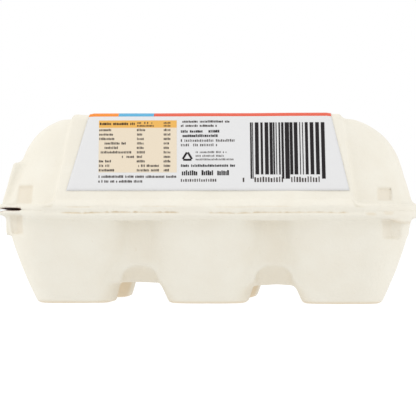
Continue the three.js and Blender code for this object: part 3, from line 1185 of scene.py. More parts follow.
@dataclass
class Hinge:
    """The fold that joins lid and tray along one long side: a ragged bead with torn creases."""

    ends_x: tuple[float, float] = (-60.0, 60.0)
    fade: float = 3.0
    along_step: float = 0.24
    across_count: int = 64
    creases: tuple[Triple, ...] = ((-49.5, -9.0, 1.0), (2.5, 50.0, 0.8))
    crease_depth: float = 0.3
    crease_z: float = 32.45
    upper_creases: tuple[Triple, ...] = (
        (-48.0, -39.0, 0.5),
        (-21.5, -9.5, 0.35),
        (4.0, 30.0, 0.3),
    )
    upper_crease_z: float = 34.55
    seed: int = 77
    # The bead's section from inside the lid's wall out, down over the bead, in at the crease and
    # back under the lip: how far in from the carton's side each point is, and its height.
    section_inset: tuple[float, ...] = (
        5.6, 4.0, 2.7, 1.5, 0.65, 0.3, 0.33, 0.42, 0.62, 0.58, 0.33, 0.5, 1.6, 3.6
    )
    section_z: tuple[float, ...] = (
        39.2, 37.9, 36.9, 36.2, 35.5, 34.8, 34.0, 33.2, 32.6, 32.2, 31.7, 31.1, 30.3, 29.6
    )
    # Beyond the raised panel's ends the lid's wall stands further in, and the bead sinks into the rim.
    panel_end_x: float = 50.5
    sunk_z: float = 34.3
    end_inset: float = 1.6
    least_inset: float = 0.05
    back_inset: float = 6.5

    def profile(self) -> np.ndarray:
        """The section as evenly spaced points on a smooth curve.

        Returns:
            Two columns, how far in each point is and its height.
        """
        marks = np.array([self.section_inset, self.section_z]).T
        run = np.concatenate([[0], np.cumsum(np.hypot(*np.diff(marks, axis=0).T))])
        fine = np.linspace(0, run[-1], 4 * self.across_count)
        curve = np.stack([np.interp(fine, run, marks[:, i]) for i in (0, 1)], axis=1)
        kernel = np.hanning(2 * (self.across_count // 5) + 1)
        kernel /= kernel.sum()
        half = len(kernel) // 2
        padded = np.pad(curve, ((half, half), (0, 0)), mode="edge")
        soft = np.stack([np.convolve(padded[:, i], kernel, mode="valid") for i in (0, 1)], axis=1)
        return soft[::4]

    def build(self, materials: Materials) -> None:
        """Builds and places the hinge.

        Args:
            materials: The materials by finish.
        """
        along = np.arange(self.ends_x[0], self.ends_x[1] + self.along_step, self.along_step)
        profile = self.profile()
        inset = np.broadcast_to(profile[:, 0], (len(along), len(profile))).copy()
        height = np.broadcast_to(profile[:, 1], inset.shape).copy()
        fine = self.ripple(along, profile, (1.1, 0.7), self.seed)
        wide = self.ripple(along, profile, (6.0, 3.0), self.seed + 1)
        sway = self.ripple(along, profile[:1], (9.0, 3.0), self.seed + 2)
        ridges = self.ripple(along, profile, (13.0, 0.6), self.seed + 3)
        torn = self.stretches(along, self.creases)
        crease_z = self.crease_z + 0.1 * sway
        nearness = np.exp(-(((height - crease_z) / 0.2) ** 2))
        rough = np.exp(-(((height - crease_z) / 1.3) ** 2))
        upper = np.exp(-(((height - self.upper_crease_z - 0.1 * sway) / 0.16) ** 2))
        upper_torn = self.stretches(along, self.upper_creases)
        crease = nearness * torn * np.clip(0.75 + 0.2 * fine, 0, 1.1)
        crease = crease + upper * upper_torn * np.clip(0.9 + 0.2 * fine, 0, 1.2)
        inset += self.crease_depth * crease + 0.07 * wide + (0.02 + 0.05 * rough * torn) * fine
        inset += 0.05 * ridges * stretch((31.5, 33.0, 35.8, 36.8), height)
        height += 0.05 * rough * torn * fine
        beyond = smooth_step(self.panel_end_x, self.panel_end_x + 3.0, np.abs(along))[:, None]
        height = np.minimum(height, height.max() + (self.sunk_z - height.max()) * beyond)
        to_end = np.minimum(along - self.ends_x[0], self.ends_x[1] - along)
        inset += self.end_inset * (1 - smooth_step(0.0, self.fade, to_end)[:, None])
        inset = np.maximum(inset, self.least_inset)
        self.place_strip(along, inset, height, np.clip(crease, 0, 1), materials[Finish.PULP])

    def stretches(self, along: np.ndarray, marks: tuple[Triple, ...]) -> np.ndarray:
        """How deep the fold is torn at each place along it, from marks of a start, an end and a depth.

        Args:
            along: Places along the carton.
            marks: The stretches, each with its start, end and depth.

        Returns:
            A column with one depth for each place.
        """
        soft = 1.5
        depths = [
            depth * stretch((start - soft, start + soft, end - soft, end + soft), along)
            for start, end, depth in marks
        ]
        return np.sum(depths, axis=0)[:, None]

    def ripple(
        self, along: np.ndarray, profile: np.ndarray, sizes: Pair, seed: int
    ) -> np.ndarray:
        """Noise of unit spread over the strip, with bumps of those sizes along and across it.

        Args:
            along: Places along the carton.
            profile: The section's points.
            sizes: The size of the bumps along and across.
            seed: The seed of the noise.

        Returns:
            One number for each place and section point.
        """
        run = np.concatenate([[0], np.cumsum(np.hypot(*np.diff(profile, axis=0).T))])
        rng = np.random.default_rng(seed)
        spots_a = (along - along[0]) / sizes[0]
        spots_b = run / sizes[1]
        lattice = rng.standard_normal((int(spots_a[-1]) + 3, int(spots_b[-1]) + 3))
        rows = np.array([np.interp(spots_b, np.arange(lattice.shape[1]), line) for line in lattice])
        cell = spots_a.astype(int)
        part = smooth_step(0, 1, spots_a - cell)[:, None]
        values = rows[cell] * (1 - part) + rows[cell + 1] * part
        return values / values.std()

    def place_strip(
        self,
        along: np.ndarray,
        inset: np.ndarray,
        height: np.ndarray,
        crease: np.ndarray,
        material: bpy.types.Material,
    ) -> None:
        """Closes the strip with a back inside the pulp and puts it into the scene.

        Args:
            along: Places along the carton.
            inset: Distance in from the side, for each place and section point.
            height: Height of the same points.
            crease: How deep each point lies in a crease.
            material: The pulp's material.
        """
        back = np.array([[self.back_inset, height[0, -1]], [self.back_inset, height[0, 0]]])
        rows = len(along)
        inset = np.hstack([inset, np.broadcast_to(back[:, 0], (rows, 2))])
        height = np.hstack([height, np.broadcast_to(back[:, 1], (rows, 2))])
        crease = np.hstack([crease, np.zeros((rows, 2))])
        count = inset.shape[1]
        spots = [np.broadcast_to(along[:, None], inset.shape), inset - HALF_WIDTH, height]
        points = np.stack(spots, axis=2).reshape(-1, 3)
        i, j = np.meshgrid(np.arange(rows - 1), np.arange(count), indexing="ij")
        beside = (j + 1) % count
        quads = [i * count + j, i * count + beside, (i + 1) * count + beside, (i + 1) * count + j]
        faces = [tuple(face) for face in np.stack(quads, axis=2).reshape(-1, 4)]
        # Each end is a fan of triangles round a point in its middle.
        points = np.vstack([points, points[:count].mean(axis=0), points[-count:].mean(axis=0)])
        first, last, start = len(points) - 2, len(points) - 1, (rows - 1) * count
        faces += [(first, (k + 1) % count, k) for k in range(count)]
        faces += [(last, start + k, start + (k + 1) % count) for k in range(count)]
        mesh = bpy.data.meshes.new("carton_hinge")
        mesh.from_pydata([tuple(p) for p in points * MM], [], faces)
        mesh.polygons.foreach_set("use_smooth", np.ones(len(mesh.polygons), bool))
        mesh.validate()
        mark(mesh, "tint_and_shade", np.concatenate([0.55 * crease.ravel(), [0, 0]]))
        place("carton_hinge", mesh, material, "carton")


@dataclass
class Label:
    """The label paper: one sheet that runs up the hinge flank, over the top and down the closing flank."""

    lift: float = 0.34
    thickness: float = 0.13
    foot_z: float = 40.2
    top_half_length: float = 42.9
    flare: float = 0.253
    shift: float = 1.2
    flank_step: float = 1.0
    along_step: float = 1.0
    fold_steps: int = 12
    ripple: float = 0.06
    hug: float = 0.24
    hug_width: float = 1.6

    def __post_init__(self) -> None:
        """Works out the section that the sheet follows."""
        self.slope = math.atan(PANEL_DRAFT)
        self.radius = PANEL_SHOULDER + self.lift + self.thickness
        self.top_z = PANEL_TOP_Z + self.lift + self.thickness
        foot = PANEL_FOOT_Y - PANEL_DRAFT * (self.foot_z - PANEL_FOOT_Z)
        self.foot_y = foot + (self.lift + self.thickness) / math.cos(self.slope)
        self.centre_z = self.top_z - self.radius
        line = self.foot_y - PANEL_DRAFT * (self.centre_z - self.foot_z)
        self.centre_y = line - self.radius / math.cos(self.slope)
        fold_start_z = self.centre_z + self.radius * math.sin(self.slope)
        self.flank_length = (fold_start_z - self.foot_z) / math.cos(self.slope)
        self.fold_length = (math.pi / 2 - self.slope) * self.radius
        self.top_length = 2 * self.centre_y
        self.length = 2 * (self.flank_length + self.fold_length) + self.top_length

    def half_section(self, run: np.ndarray) -> tuple[np.ndarray, np.ndarray, np.ndarray]:
        """Follows one half of the sheet from its foot to the middle of the top.

        Args:
            run: Distances along the sheet from its foot.

        Returns:
            Distance across from the middle, height, and the angle of the surface's normal.
        """
        past_flank = run - self.flank_length
        angle = np.clip(self.slope + past_flank / self.radius, self.slope, math.pi / 2)
        across = self.foot_y - np.minimum(run, self.flank_length) * math.sin(self.slope)
        z = self.foot_z + np.minimum(run, self.flank_length) * math.cos(self.slope)
        across = across + self.radius * (np.cos(angle) - math.cos(self.slope))
        z = z + self.radius * (np.sin(angle) - math.sin(self.slope))
        across = across - np.maximum(past_flank - self.fold_length, 0)
        return across, z, angle

    def wrap(self, u: np.ndarray, run: np.ndarray, rise: np.ndarray | float) -> np.ndarray:
        """Lays flat places on the wrapped sheet.

        Args:
            u: Place along the carton.
            run: Distance along the sheet from its foot on the hinge side.
            rise: Distance above the sheet's face.

        Returns:
            Points in millimetres.
        """
        far = run > self.length / 2
        from_foot = np.where(far, self.length - run, run)
        across, z, angle = self.half_section(from_foot)
        rise = rise + self.waves(u, run)
        across = across + rise * np.cos(angle)
        z = z + rise * np.sin(angle)
        side = np.where(far, 1.0, -1.0)
        return np.stack([u, side * across, z], axis=-1)

    def waves(self, u: np.ndarray, run: np.ndarray) -> np.ndarray:
        """The sheet's faint cockle over the pulp, and how its glued borders lie closer to it.

        Args:
            u: Places along the carton.
            run: Distances along the sheet from its foot on the hinge side.

        Returns:
            Heights above the plain sheet in millimetres.
        """
        cockle = np.sin(u / 6.1 + run / 17.0) + np.sin(u / 10.3 - run / 8.9 + 1.3)
        cockle = cockle + np.sin(u / 4.1 + run / 5.3 + 2.1) * 0.4
        from_end = self.half_length(run) - np.abs(u - self.shift)
        from_border = np.minimum(from_end, np.minimum(run, self.length - run))
        return self.ripple * cockle / 2.4 - self.hug * smooth_step(self.hug_width, 0.0, from_border)

    def half_length(self, run: np.ndarray) -> np.ndarray:
        """Half length of the sheet at a distance along it, which flares down both flanks.

        Args:
            run: Distances along the sheet from its foot on the hinge side.

        Returns:
            Half lengths in millimetres.
        """
        from_foot = np.minimum(run, self.length - run)
        z = self.half_section(from_foot)[1]
        return self.top_half_length + np.maximum(PANEL_TOP_Z - z, 0) * self.flare

    def runs(self, start: float, end: float) -> np.ndarray:
        """Places along the sheet at which its mesh has a row, fine over the folds.

        Args:
            start: Where the stretch starts.
            end: Where it ends.

        Returns:
            Sorted distances from start to end.
        """
        fold = self.flank_length + np.linspace(0, self.fold_length, self.fold_steps + 1)
        flank = np.arange(0, self.flank_length, self.flank_step)
        half = np.concatenate([flank, fold])
        top = np.arange(half[-1] + self.flank_step, self.length / 2, self.flank_step)
        half = np.concatenate([half, top])
        whole = np.concatenate([half, [self.length / 2], self.length - half])
        inside = whole[(whole > start + 0.05) & (whole < end - 0.05)]
        return np.concatenate([[start], np.sort(inside), [end]])

    def slab(self, ends: Pair, start: float, end: float, heights: Pair, lean: float = 0.0) -> Shape:
        """A closed thin slab on the sheet between places along and across it.

        Args:
            ends: Its two ends along the carton, cut at the sheet's edges.
            start: Where it starts along the sheet.
            end: Where it ends.
            heights: Heights of its back and its face above the sheet.
            lean: How far it leans along the carton for each millimetre of run.

        Returns:
            Points in millimetres and quads.
        """
        runs = self.runs(start, end)
        half = self.half_length(runs)
        shear = lean * (runs - runs.mean())
        low = np.maximum(ends[0] + shear, self.shift - half)
        high = np.minimum(ends[1] + shear, self.shift + half)
        columns = max(2, int(math.ceil((ends[1] - ends[0]) / self.along_step)) + 1)
        shares = np.linspace(0, 1, columns)
        u = low[:, None] + (high - low)[:, None] * shares
        run = np.broadcast_to(runs[:, None], u.shape)
        back, face = [self.wrap(u, run, height).reshape(-1, 3) for height in heights]
        return closed_sheet(face, back, len(runs), columns)

    def build(self, materials: Materials) -> None:
        """Builds and places the paper.

        Args:
            materials: The materials by finish.
        """
        widest = self.top_half_length + (PANEL_TOP_Z - self.foot_z) * self.flare + 1
        ends = (self.shift - widest, self.shift + widest)
        mesh = new_mesh("label_sheet", *self.slab(ends, 0.0, self.length, (-self.thickness, 0.0)))
        place("label_sheet", mesh, materials[Finish.PAPER], "label")


def closed_sheet(face: np.ndarray, back: np.ndarray, rows: int, columns: int) -> Shape:
    """Joins two equal grids of points into a closed thin solid.

    Args:
        face: The upper grid's points, row by row.
        back: The lower grid's points.
        rows: How many rows they have.
        columns: How many points a row has.

    Returns:
        All points and the quads, facing out.
    """
    number = np.arange(rows * columns).reshape(rows, columns)
    a, b = number[:-1, :-1], number[:-1, 1:]
    c, d = number[1:, 1:], number[1:, :-1]
    faces = [np.stack([a, b, c, d], axis=-1).reshape(-1, 4)]
    shift = rows * columns
    faces.append(np.stack([d, c, b, a], axis=-1).reshape(-1, 4) + shift)
    border = np.concatenate([number[0, :-1], number[:-1, -1], number[-1, :0:-1], number[:0:-1, 0]])
    after = np.roll(border, -1)
    faces.append(np.stack([after, border, border + shift, after + shift], axis=-1))
    return np.vstack([face, back]), np.vstack(faces)


# Geometry Nodes trees for the print

MATH = "ShaderNodeMath"
RANDOM = "FunctionNodeRandomValue"
VECTOR = "ShaderNodeCombineXYZ"
PLUS = {"operation": "ADD"}
LESS = {"operation": "SUBTRACT"}
TIMES = {"operation": "MULTIPLY"}
OVER = {"operation": "DIVIDE"}
LARGER = {"operation": "MAXIMUM"}
PAST = {"operation": "GREATER_THAN"}
# The last nodes of each tree: its pieces on their points, as plain geometry, in the given ink.
PRINTING = (
    (
        "pieces",
        "GeometryNodeInstanceOnPoints",
        0,
        {"Points": "places", "Instance": "piece", "Scale": "scale"},
        {},
    ),
    ("solid", "GeometryNodeRealizeInstances", 0, {"Geometry": "pieces"}, {}),
    ("inked", "GeometryNodeSetMaterial", 0, {"Geometry": "solid", "Material": "Ink"}, {}),
)


def node_group(
    name: str, inputs: dict[str, tuple[str, object]], steps: tuple[tuple, ...]
) -> bpy.types.NodeTree:
    """Builds a Geometry Nodes tree with named inputs, whose steps end in pieces on places.

    Args:
        name: The tree's name.
        inputs: Each input's socket type and starting value by its name.
        steps: Each node's name, type, output, inputs and settings. A node's inputs are values, or names
            of the tree's inputs and of nodes before it.

    Returns:
        The tree.
    """
    tree = bpy.data.node_groups.new(name, "GeometryNodeTree")
    for label, (kind, start) in inputs.items():
        socket = tree.interface.new_socket(label, in_out="INPUT", socket_type=kind)
        if start is not None:
            socket.default_value = start
    tree.interface.new_socket("Geometry", in_out="OUTPUT", socket_type="NodeSocketGeometry")
    known = {socket.name: socket for socket in add(tree, "NodeGroupInput").outputs}
    for label, kind, output, given, settings in steps + PRINTING:
        fed = {key: known.get(value, value) for key, value in given.items()}
        known[label] = add(tree, kind, fed, **settings).outputs[output]
    add(tree, "NodeGroupOutput", {0: known["inked"]})
    return tree


def printed_lines() -> bpy.types.NodeTree:
    """Builds the tree for greeked lines: rows of small upright blocks with gaps between words.

    Returns:
        The tree.
    """
    inputs = {
        "Cells": ("NodeSocketInt", 20),
        "Rows": ("NodeSocketInt", 1),
        "Cell": ("NodeSocketFloat", 0.5),
        "Pitch": ("NodeSocketFloat", 1.7),
        "Height": ("NodeSocketFloat", 1.0),
        "Ink Share": ("NodeSocketFloat", 0.7),
        "Ragged": ("NodeSocketFloat", 0.0),
        "Spaces": ("NodeSocketFloat", 0.15),
        "Thickness": ("NodeSocketFloat", PRINT_THICKNESS),
        "Seed": ("NodeSocketInt", 1),
        "Ink": ("NodeSocketMaterial", None),
    }
    grid = {"Size X": "length", "Size Y": "depth", "Vertices X": "Cells", "Vertices Y": "Rows"}
    by_row = {2: "shortest", 3: 1.0, "ID": "row number", "Seed": "next seed"}
    # Blocks are up to a quarter narrower or wider than their share, and up to three tenths shorter.
    uneven = {0: (0.75, 0.7, 1.0), 1: (1.25, 1.0, 1.0), "Seed": "next seed"}
    steps = (
        ("last cell", MATH, 0, {0: "Cells", 1: 1.0}, LESS),
        ("last row", MATH, 0, {0: "Rows", 1: 1.0}, LESS),
        ("length", MATH, 0, {0: "last cell", 1: "Cell"}, TIMES),
        ("depth", MATH, 0, {0: "last row", 1: "Pitch"}, TIMES),
        ("grid", "GeometryNodeMeshGrid", "Mesh", grid, {}),
        ("corner", VECTOR, 0, {"X": "length", "Y": "depth"}, {}),
        ("half", "ShaderNodeVectorMath", 0, {0: "corner", "Scale": 0.5}, {"operation": "SCALE"}),
        ("rows", "GeometryNodeTransform", 0, {"Geometry": "grid", "Translation": "half"}, {}),
        ("spot", "GeometryNodeInputPosition", 0, {}, {}),
        ("along", "ShaderNodeSeparateXYZ", "X", {0: "spot"}, {}),
        ("across", "ShaderNodeSeparateXYZ", "Y", {0: "spot"}, {}),
        ("row", MATH, 0, {0: "across", 1: "Pitch"}, OVER),
        ("row number", MATH, 0, {0: "row"}, {"operation": "ROUND"}),
        ("next seed", MATH, 0, {0: "Seed", 1: 1.0}, PLUS),
        ("shortest", MATH, 0, {0: 1.0, 1: "Ragged"}, LESS),
        ("share", RANDOM, 1, by_row, {"data_type": "FLOAT"}),
        ("row end", MATH, 0, {0: "share", 1: "length"}, TIMES),
        ("row limit", MATH, 0, {0: "row end", 1: 1e-6}, PLUS),
        ("past", MATH, 0, {0: "along", 1: "row limit"}, PAST),
        ("gap", RANDOM, 3, {"Probability": "Spaces", "Seed": "Seed"}, {"data_type": "BOOLEAN"}),
        ("empty", "FunctionNodeBooleanMath", 0, {0: "past", 1: "gap"}, {"operation": "OR"}),
        (
            "places",
            "GeometryNodeDeleteGeometry",
            0,
            {"Geometry": "rows", "Selection": "empty"},
            {"domain": "POINT"},
        ),
        ("stroke", MATH, 0, {0: "Cell", 1: "Ink Share"}, TIMES),
        ("size", VECTOR, 0, {"X": "stroke", "Y": "Height", "Z": "Thickness"}, {}),
        ("block", "GeometryNodeMeshCube", "Mesh", {"Size": "size"}, {}),
        ("lift", MATH, 0, {0: "Height", 1: 0.5}, TIMES),
        ("stand", VECTOR, 0, {"Y": "lift"}, {}),
        ("piece", "GeometryNodeTransform", 0, {"Geometry": "block", "Translation": "stand"}, {}),
        ("scale", RANDOM, 0, uneven, {"data_type": "FLOAT_VECTOR"}),
    )
    return node_group("printed_lines", inputs, steps)


def printed_bars() -> bpy.types.NodeTree:
    """Builds the tree for a field of upright bars of random width, with longer guard bars.

    Returns:
        The tree.
    """
    inputs = {
        "Bars": ("NodeSocketInt", 30),
        "Width": ("NodeSocketFloat", 26.5),
        "Height": ("NodeSocketFloat", 19.7),
        "Guard": ("NodeSocketFloat", 1.6),
        "Thickness": ("NodeSocketFloat", PRINT_THICKNESS),
        "Seed": ("NodeSocketInt", 1),
        "Ink": ("NodeSocketMaterial", None),
    }
    whole = {"data_type": "INT"}
    # A bar is 1 to 6 modules wide and the gap after it 1 to 3. Ink spreads a little past the plate,
    # so each bar prints wider than its whole modules. Each is cut in rows, to bend with the paper.
    steps = (
        ("index", "GeometryNodeInputIndex", 0, {}, {}),
        ("line", "GeometryNodeMeshLine", 0, {"Count": "Bars", "Offset": (0.0, 0.0, 0.0)}, {}),
        ("next seed", MATH, 0, {0: "Seed", 1: 1.0}, PLUS),
        ("bar", RANDOM, 2, {4: 1, 5: 6, "Seed": "Seed"}, whole),
        ("gap", RANDOM, 2, {4: 1, 5: 3, "Seed": "next seed"}, whole),
        ("advance", MATH, 0, {0: "bar", 1: "gap"}, PLUS),
        ("total", "GeometryNodeAccumulateField", "Total", {0: "advance"}, {"data_type": "FLOAT"}),
        ("so far", "GeometryNodeAccumulateField", "Trailing", {0: "advance"}, {"data_type": "FLOAT"}),
        ("module", MATH, 0, {0: "Width", 1: "total"}, OVER),
        ("start", MATH, 0, {0: "so far", 1: "module"}, TIMES),
        ("spot", VECTOR, 0, {"X": "start"}, {}),
        ("places", "GeometryNodeSetPosition", 0, {"Geometry": "line", "Position": "spot"}, {}),
        ("last", MATH, 0, {0: "Bars", 1: 2.0}, LESS),
        ("middle", MATH, 0, {0: "Bars", 1: 0.5}, TIMES),
        ("at start", MATH, 0, {0: "index", 1: 1.5}, {"operation": "LESS_THAN"}),
        ("at end", MATH, 0, {0: "index", 1: "last"}, PAST),
        ("at middle", MATH, 0, {0: "index", 1: "middle", 2: 1.1}, {"operation": "COMPARE"}),
        ("ends", MATH, 0, {0: "at start", 1: "at end"}, LARGER),
        ("guard", MATH, 0, {0: "ends", 1: "at middle"}, LARGER),
        ("extra", MATH, 0, {0: "guard", 1: "Guard"}, TIMES),
        ("tall", MATH, 0, {0: "extra", 1: "Height"}, PLUS),
        ("inked", MATH, 0, {0: "bar", 1: 0.3}, PLUS),
        ("wide", MATH, 0, {0: "inked", 1: "module"}, TIMES),
        ("scale", VECTOR, 0, {"X": "wide", "Y": "tall", "Z": "Thickness"}, {}),
        ("block", "GeometryNodeMeshCube", "Mesh", {"Size": (1.0, 1.0, 1.0), "Vertices Y": 12}, {}),
        ("piece", "GeometryNodeTransform", 0, {"Geometry": "block", "Translation": (0.5, -0.5, 0.0)}, {}),
    )
    return node_group("printed_bars", inputs, steps)


def grown(tree: bpy.types.NodeTree, values: dict[str, object]) -> Shape:
    """Runs a Geometry Nodes tree and reads back its flat artwork.

    Args:
        tree: The tree.
        values: Its inputs by name, in millimetres.

    Returns:
        Points in millimetres and quads.
    """
    carrier = bpy.data.objects.new(tree.name, bpy.data.meshes.new(tree.name))
    bpy.context.scene.collection.objects.link(carrier)
    modifier = carrier.modifiers.new(tree.name, "NODES")
    modifier.node_group = tree
    sockets = {item.name: item.identifier for item in tree.interface.items_tree if item.in_out == "INPUT"}
    for label, value in values.items():
        modifier[sockets[label]] = value
    graph = bpy.context.evaluated_depsgraph_get()
    mesh = bpy.data.meshes.new_from_object(carrier.evaluated_get(graph), depsgraph=graph)
    points = np.empty(len(mesh.vertices) * 3, np.float32)
    mesh.vertices.foreach_get("co", points)
    corners = np.empty(len(mesh.loops), np.int32)
    mesh.loops.foreach_get("vertex_index", corners)
    bpy.data.objects.remove(carrier)
    bpy.data.meshes.remove(mesh)
    return points.reshape(-1, 3).astype(float), corners.reshape(-1, 4)


@dataclass(frozen=True)
class TextBlock:
    """Greeked lines on a flank of the label: where they start, how long and how heavy they are.

    The first line's foot is at run, and further lines go down from it.
    """

    u: float
    run: float
    length: float
    height: float
    rows: int = 1
    pitch: float = 1.7
    cell: float = 0.55
    ink_share: float = 0.66
    ragged: float = 0.0
    spaces: float = 0.14
    seed: int = 1
    ink: Finish = Finish.GREY


@dataclass
class Artwork:
    """The label's print, drawn flat in fields, bars and greeked lines, then wrapped with the paper."""

    label: Label
    lift: float = 0.025
    sunk: float = -0.04
    lean: float = -0.035
    lean_run: float = 15.0
    stripe_start: float = 28.15
    orange_end_u: float = -31.2
    blue_end_u: float = -18.6
    far_u: float = 60.0
    table_u: Pair = (-37.65, -9.95)
    table_runs: Triple = (6.7, 23.7, 26.5)
    # The table's ten rows: how far each row's words are set in, and how long they are.
    row_words: tuple[Pair, ...] = (
        (0.0, 4.2), (0.0, 4.7), (0.0, 5.4), (1.9, 7.6), (1.9, 5.2),
        (0.0, 11.4), (8.1, 4.4), (0.0, 4.2), (0.0, 3.7), (0.0, 5.7),
    )
    row_run: float = 22.4
    row_pitch: float = 1.7
    row_height: float = 0.95
    column_u: float = -8.3
    bars_at: Pair = (16.0, 25.6)
    triangle_at: Pair = (-6.2, 12.5)
    triangle_reach: float = 1.03
    triangle_bar: Pair = (2.9, 0.72)
    egg_half: Pair = (5.0, 6.6)
    egg_pitch: float = 14.0

    def __post_init__(self) -> None:
        """Starts an empty list of shapes for each ink."""
        self.shapes: dict[Finish, list[Shape]] = {}

    def lay(self, ink: Finish, points: np.ndarray, quads: np.ndarray) -> None:
        """Adds a wrapped shape to an ink's layer."""
        self.shapes.setdefault(ink, []).append((points, quads))

    def field(self, ink: Finish, ends: Pair, start: float, end: float) -> None:
        """Lays a plain field of colour, cut at the sheet's edges.

        Args:
            ink: The ink.
            ends: Its two ends along the carton.
            start: Where it starts along the sheet.
            end: Where it ends.
        """
        lean = self.lean if end < self.label.flank_length else 0.0
        shear = lean * ((start + end) / 2 - self.lean_run)
        ends = (ends[0] + shear, ends[1] + shear)
        self.lay(ink, *self.label.slab(ends, start, end, (self.sunk, self.lift), lean))

    def stamp(self, ink: Finish, shape: Shape, u: float, run: float, side: Side) -> None:
        """Wraps flat artwork onto a flank, with its foot toward the rim.

        Args:
            ink: The ink.
            shape: Flat points, whose heights run from the slab's back to its face, and its faces.
            u: Where its origin goes along the carton.
            run: Where its origin goes up the flank.
            side: The flank. On the closing side it is turned round to read the right way up.
        """
        points, quads = shape
        lean = self.lean if side is Side.HINGE else 0.0
        up = run + points[:, 1]
        along = u + points[:, 0] + lean * (up - self.lean_run)
        rise = np.where(points[:, 2] > 0, self.lift * 2, self.sunk)
        if side is Side.CLOSING:
            along = -along
            up = self.label.length - up
        self.lay(ink, self.label.wrap(along, up, rise), quads)

    def text(self, tree: bpy.types.NodeTree, block: TextBlock, side: Side, ink: bpy.types.Material) -> None:
        """Grows greeked lines and stamps them on a flank.

        Args:
            tree: The tree for greeked lines.
            block: What the lines look like and where they go.
            side: The flank.
            ink: The ink's material.
        """
        values = {
            "Cells": max(1, round(block.length / block.cell)),
            "Rows": block.rows,
            "Cell": block.cell,
            "Pitch": block.pitch,
            "Height": block.height,
            "Ink Share": block.ink_share,
            "Ragged": block.ragged,
            "Spaces": block.spaces,
            "Thickness": PRINT_THICKNESS,
            "Seed": block.seed,
            "Ink": ink,
        }
        foot = block.run - (block.rows - 1) * block.pitch
        self.stamp(block.ink, grown(tree, values), block.u, foot, side)

    def colour_bands(self) -> None:
        """Lays the three colour fields that run over the folds and across the top."""
        start, end = self.stripe_start, self.label.length - self.stripe_start
        self.field(Finish.ORANGE, (-self.far_u, self.orange_end_u), start, end)
        self.field(Finish.BLUE, (self.orange_end_u, self.blue_end_u), start, end)
        self.field(Finish.CORAL, (self.blue_end_u, self.far_u), start, end)

    def table(self) -> list[TextBlock]:
        """Lays the two fields of the table and lists its greeked lines.

        Returns:
            The greeked lines.
        """
        foot, head, top = self.table_runs
        self.field(Finish.AMBER, self.table_u, head, top)
        self.field(Finish.SAND, self.table_u, foot, head)
        first, pitch, high = self.row_run, self.row_pitch, self.row_height
        small = {"rows": 2, "pitch": 1.1, "cell": 0.5}
        column = {"pitch": pitch, "cell": 0.5, "spaces": 0.0}
        blocks = [
            TextBlock(-37.1, 24.75, 12.8, 0.95, cell=0.6, ink_share=0.75, seed=3, ink=Finish.BLACK),
            TextBlock(-23.8, 25.2, 7.6, 0.7, ragged=0.5, seed=5, **small),
            TextBlock(-14.4, 25.2, 2.6, 0.7, seed=7, **small),
            TextBlock(-14.4, first, 2.8, high, rows=10, ragged=0.5, seed=9, **column),
            TextBlock(-23.9, first, 3.4, high, rows=8, ragged=0.4, seed=11, **column),
            TextBlock(-23.9, first - 8 * pitch, 8.0, high, 2, pitch, cell=0.5, spaces=0.1, seed=13),
        ]
        for number, (inset, length) in enumerate(self.row_words):
            run = first - number * pitch
            blocks.append(TextBlock(-37.3 + inset, run, length, high, spaces=0.08, seed=20 + number))
        return blocks

    def middle_column(self) -> list[TextBlock]:
        """Lists the greeked lines right of the table and under it.

        Returns:
            The greeked lines.
        """
        left = self.column_u
        lines = (
            (-37.4, 4.7, 27.5, {"height": 0.95, "cell": 0.52, "spaces": 0.12}),
            (-37.4, 2.9, 15.6, {"height": 0.95, "cell": 0.52, "spaces": 0.12}),
            (left, 25.6, 17.4, {"height": 0.85, "cell": 0.56, "ink_share": 0.7}),
            (left, 24.0, 13.6, {"height": 0.85, "cell": 0.56, "ink_share": 0.7}),
            (left, 21.8, 13.9, {"height": 1.05, "cell": 0.66, "ink_share": 0.72, "ink": Finish.BLACK}),
            (left, 20.1, 13.2, {"height": 1.05, "cell": 0.66, "ink_share": 0.72, "ink": Finish.BLACK}),
            (left, 18.3, 19.3, {"height": 1.0, "cell": 0.62, "ink_share": 0.5}),
            (left, 16.6, 13.0, {"height": 1.0, "cell": 0.62, "ink_share": 0.5}),
            (-3.1, 14.0, 11.2, {"height": 0.75, "cell": 0.48, "ink_share": 0.5}),
            (-3.1, 12.6, 10.3, {"height": 0.75, "cell": 0.48, "ink_share": 0.5}),
            (-3.1, 11.25, 13.6, {"height": 0.75, "cell": 0.48, "ink_share": 0.5}),
            (left, 8.8, 19.4, {"height": 0.95, "cell": 0.6, "ink_share": 0.7, "ink": Finish.BLACK}),
            (left, 3.2, 12.4, {"height": 1.2, "cell": 0.8, "ink_share": 0.5, "spaces": 0.0}),
        )
        return [
            TextBlock(u, run, length, seed=41 + 2 * number, **looks)
            for number, (u, run, length, looks) in enumerate(lines)
        ]

    def large_lines(self) -> list[TextBlock]:
        """Lists the one large line and the row under the bars, each as three groups of plain blocks.

        Returns:
            The greeked lines.
        """
        large = {"cell": 0.7, "ink_share": 0.72, "spaces": 0.0, "ink": Finish.BLACK}
        under = {"cell": 0.95, "ink_share": 0.5, "spaces": 0.0}
        line = [(-7.9, 5.6, 81), (-0.9, 4.2, 83), (4.6, 4.2, 85)]
        row = [(13.5, 1.1, 91), (17.6, 10.9, 93), (30.4, 10.9, 95)]
        blocks = [TextBlock(u, 5.6, length, 1.95, seed=seed, **large) for u, length, seed in line]
        return blocks + [TextBlock(u, 3.05, length, 2.1, seed=seed, **under) for u, length, seed in row]

    def bars(self, tree: bpy.types.NodeTree, ink: bpy.types.Material) -> None:
        """Lays the bar field.

        Args:
            tree: The tree.
            ink: The ink's material.
        """
        values = {"Bars": 19, "Width": 26.9, "Height": 19.7, "Guard": 1.6}
        values |= {"Thickness": PRINT_THICKNESS, "Seed": 22, "Ink": ink}
        self.stamp(Finish.BLACK, grown(tree, values), *self.bars_at, Side.HINGE)

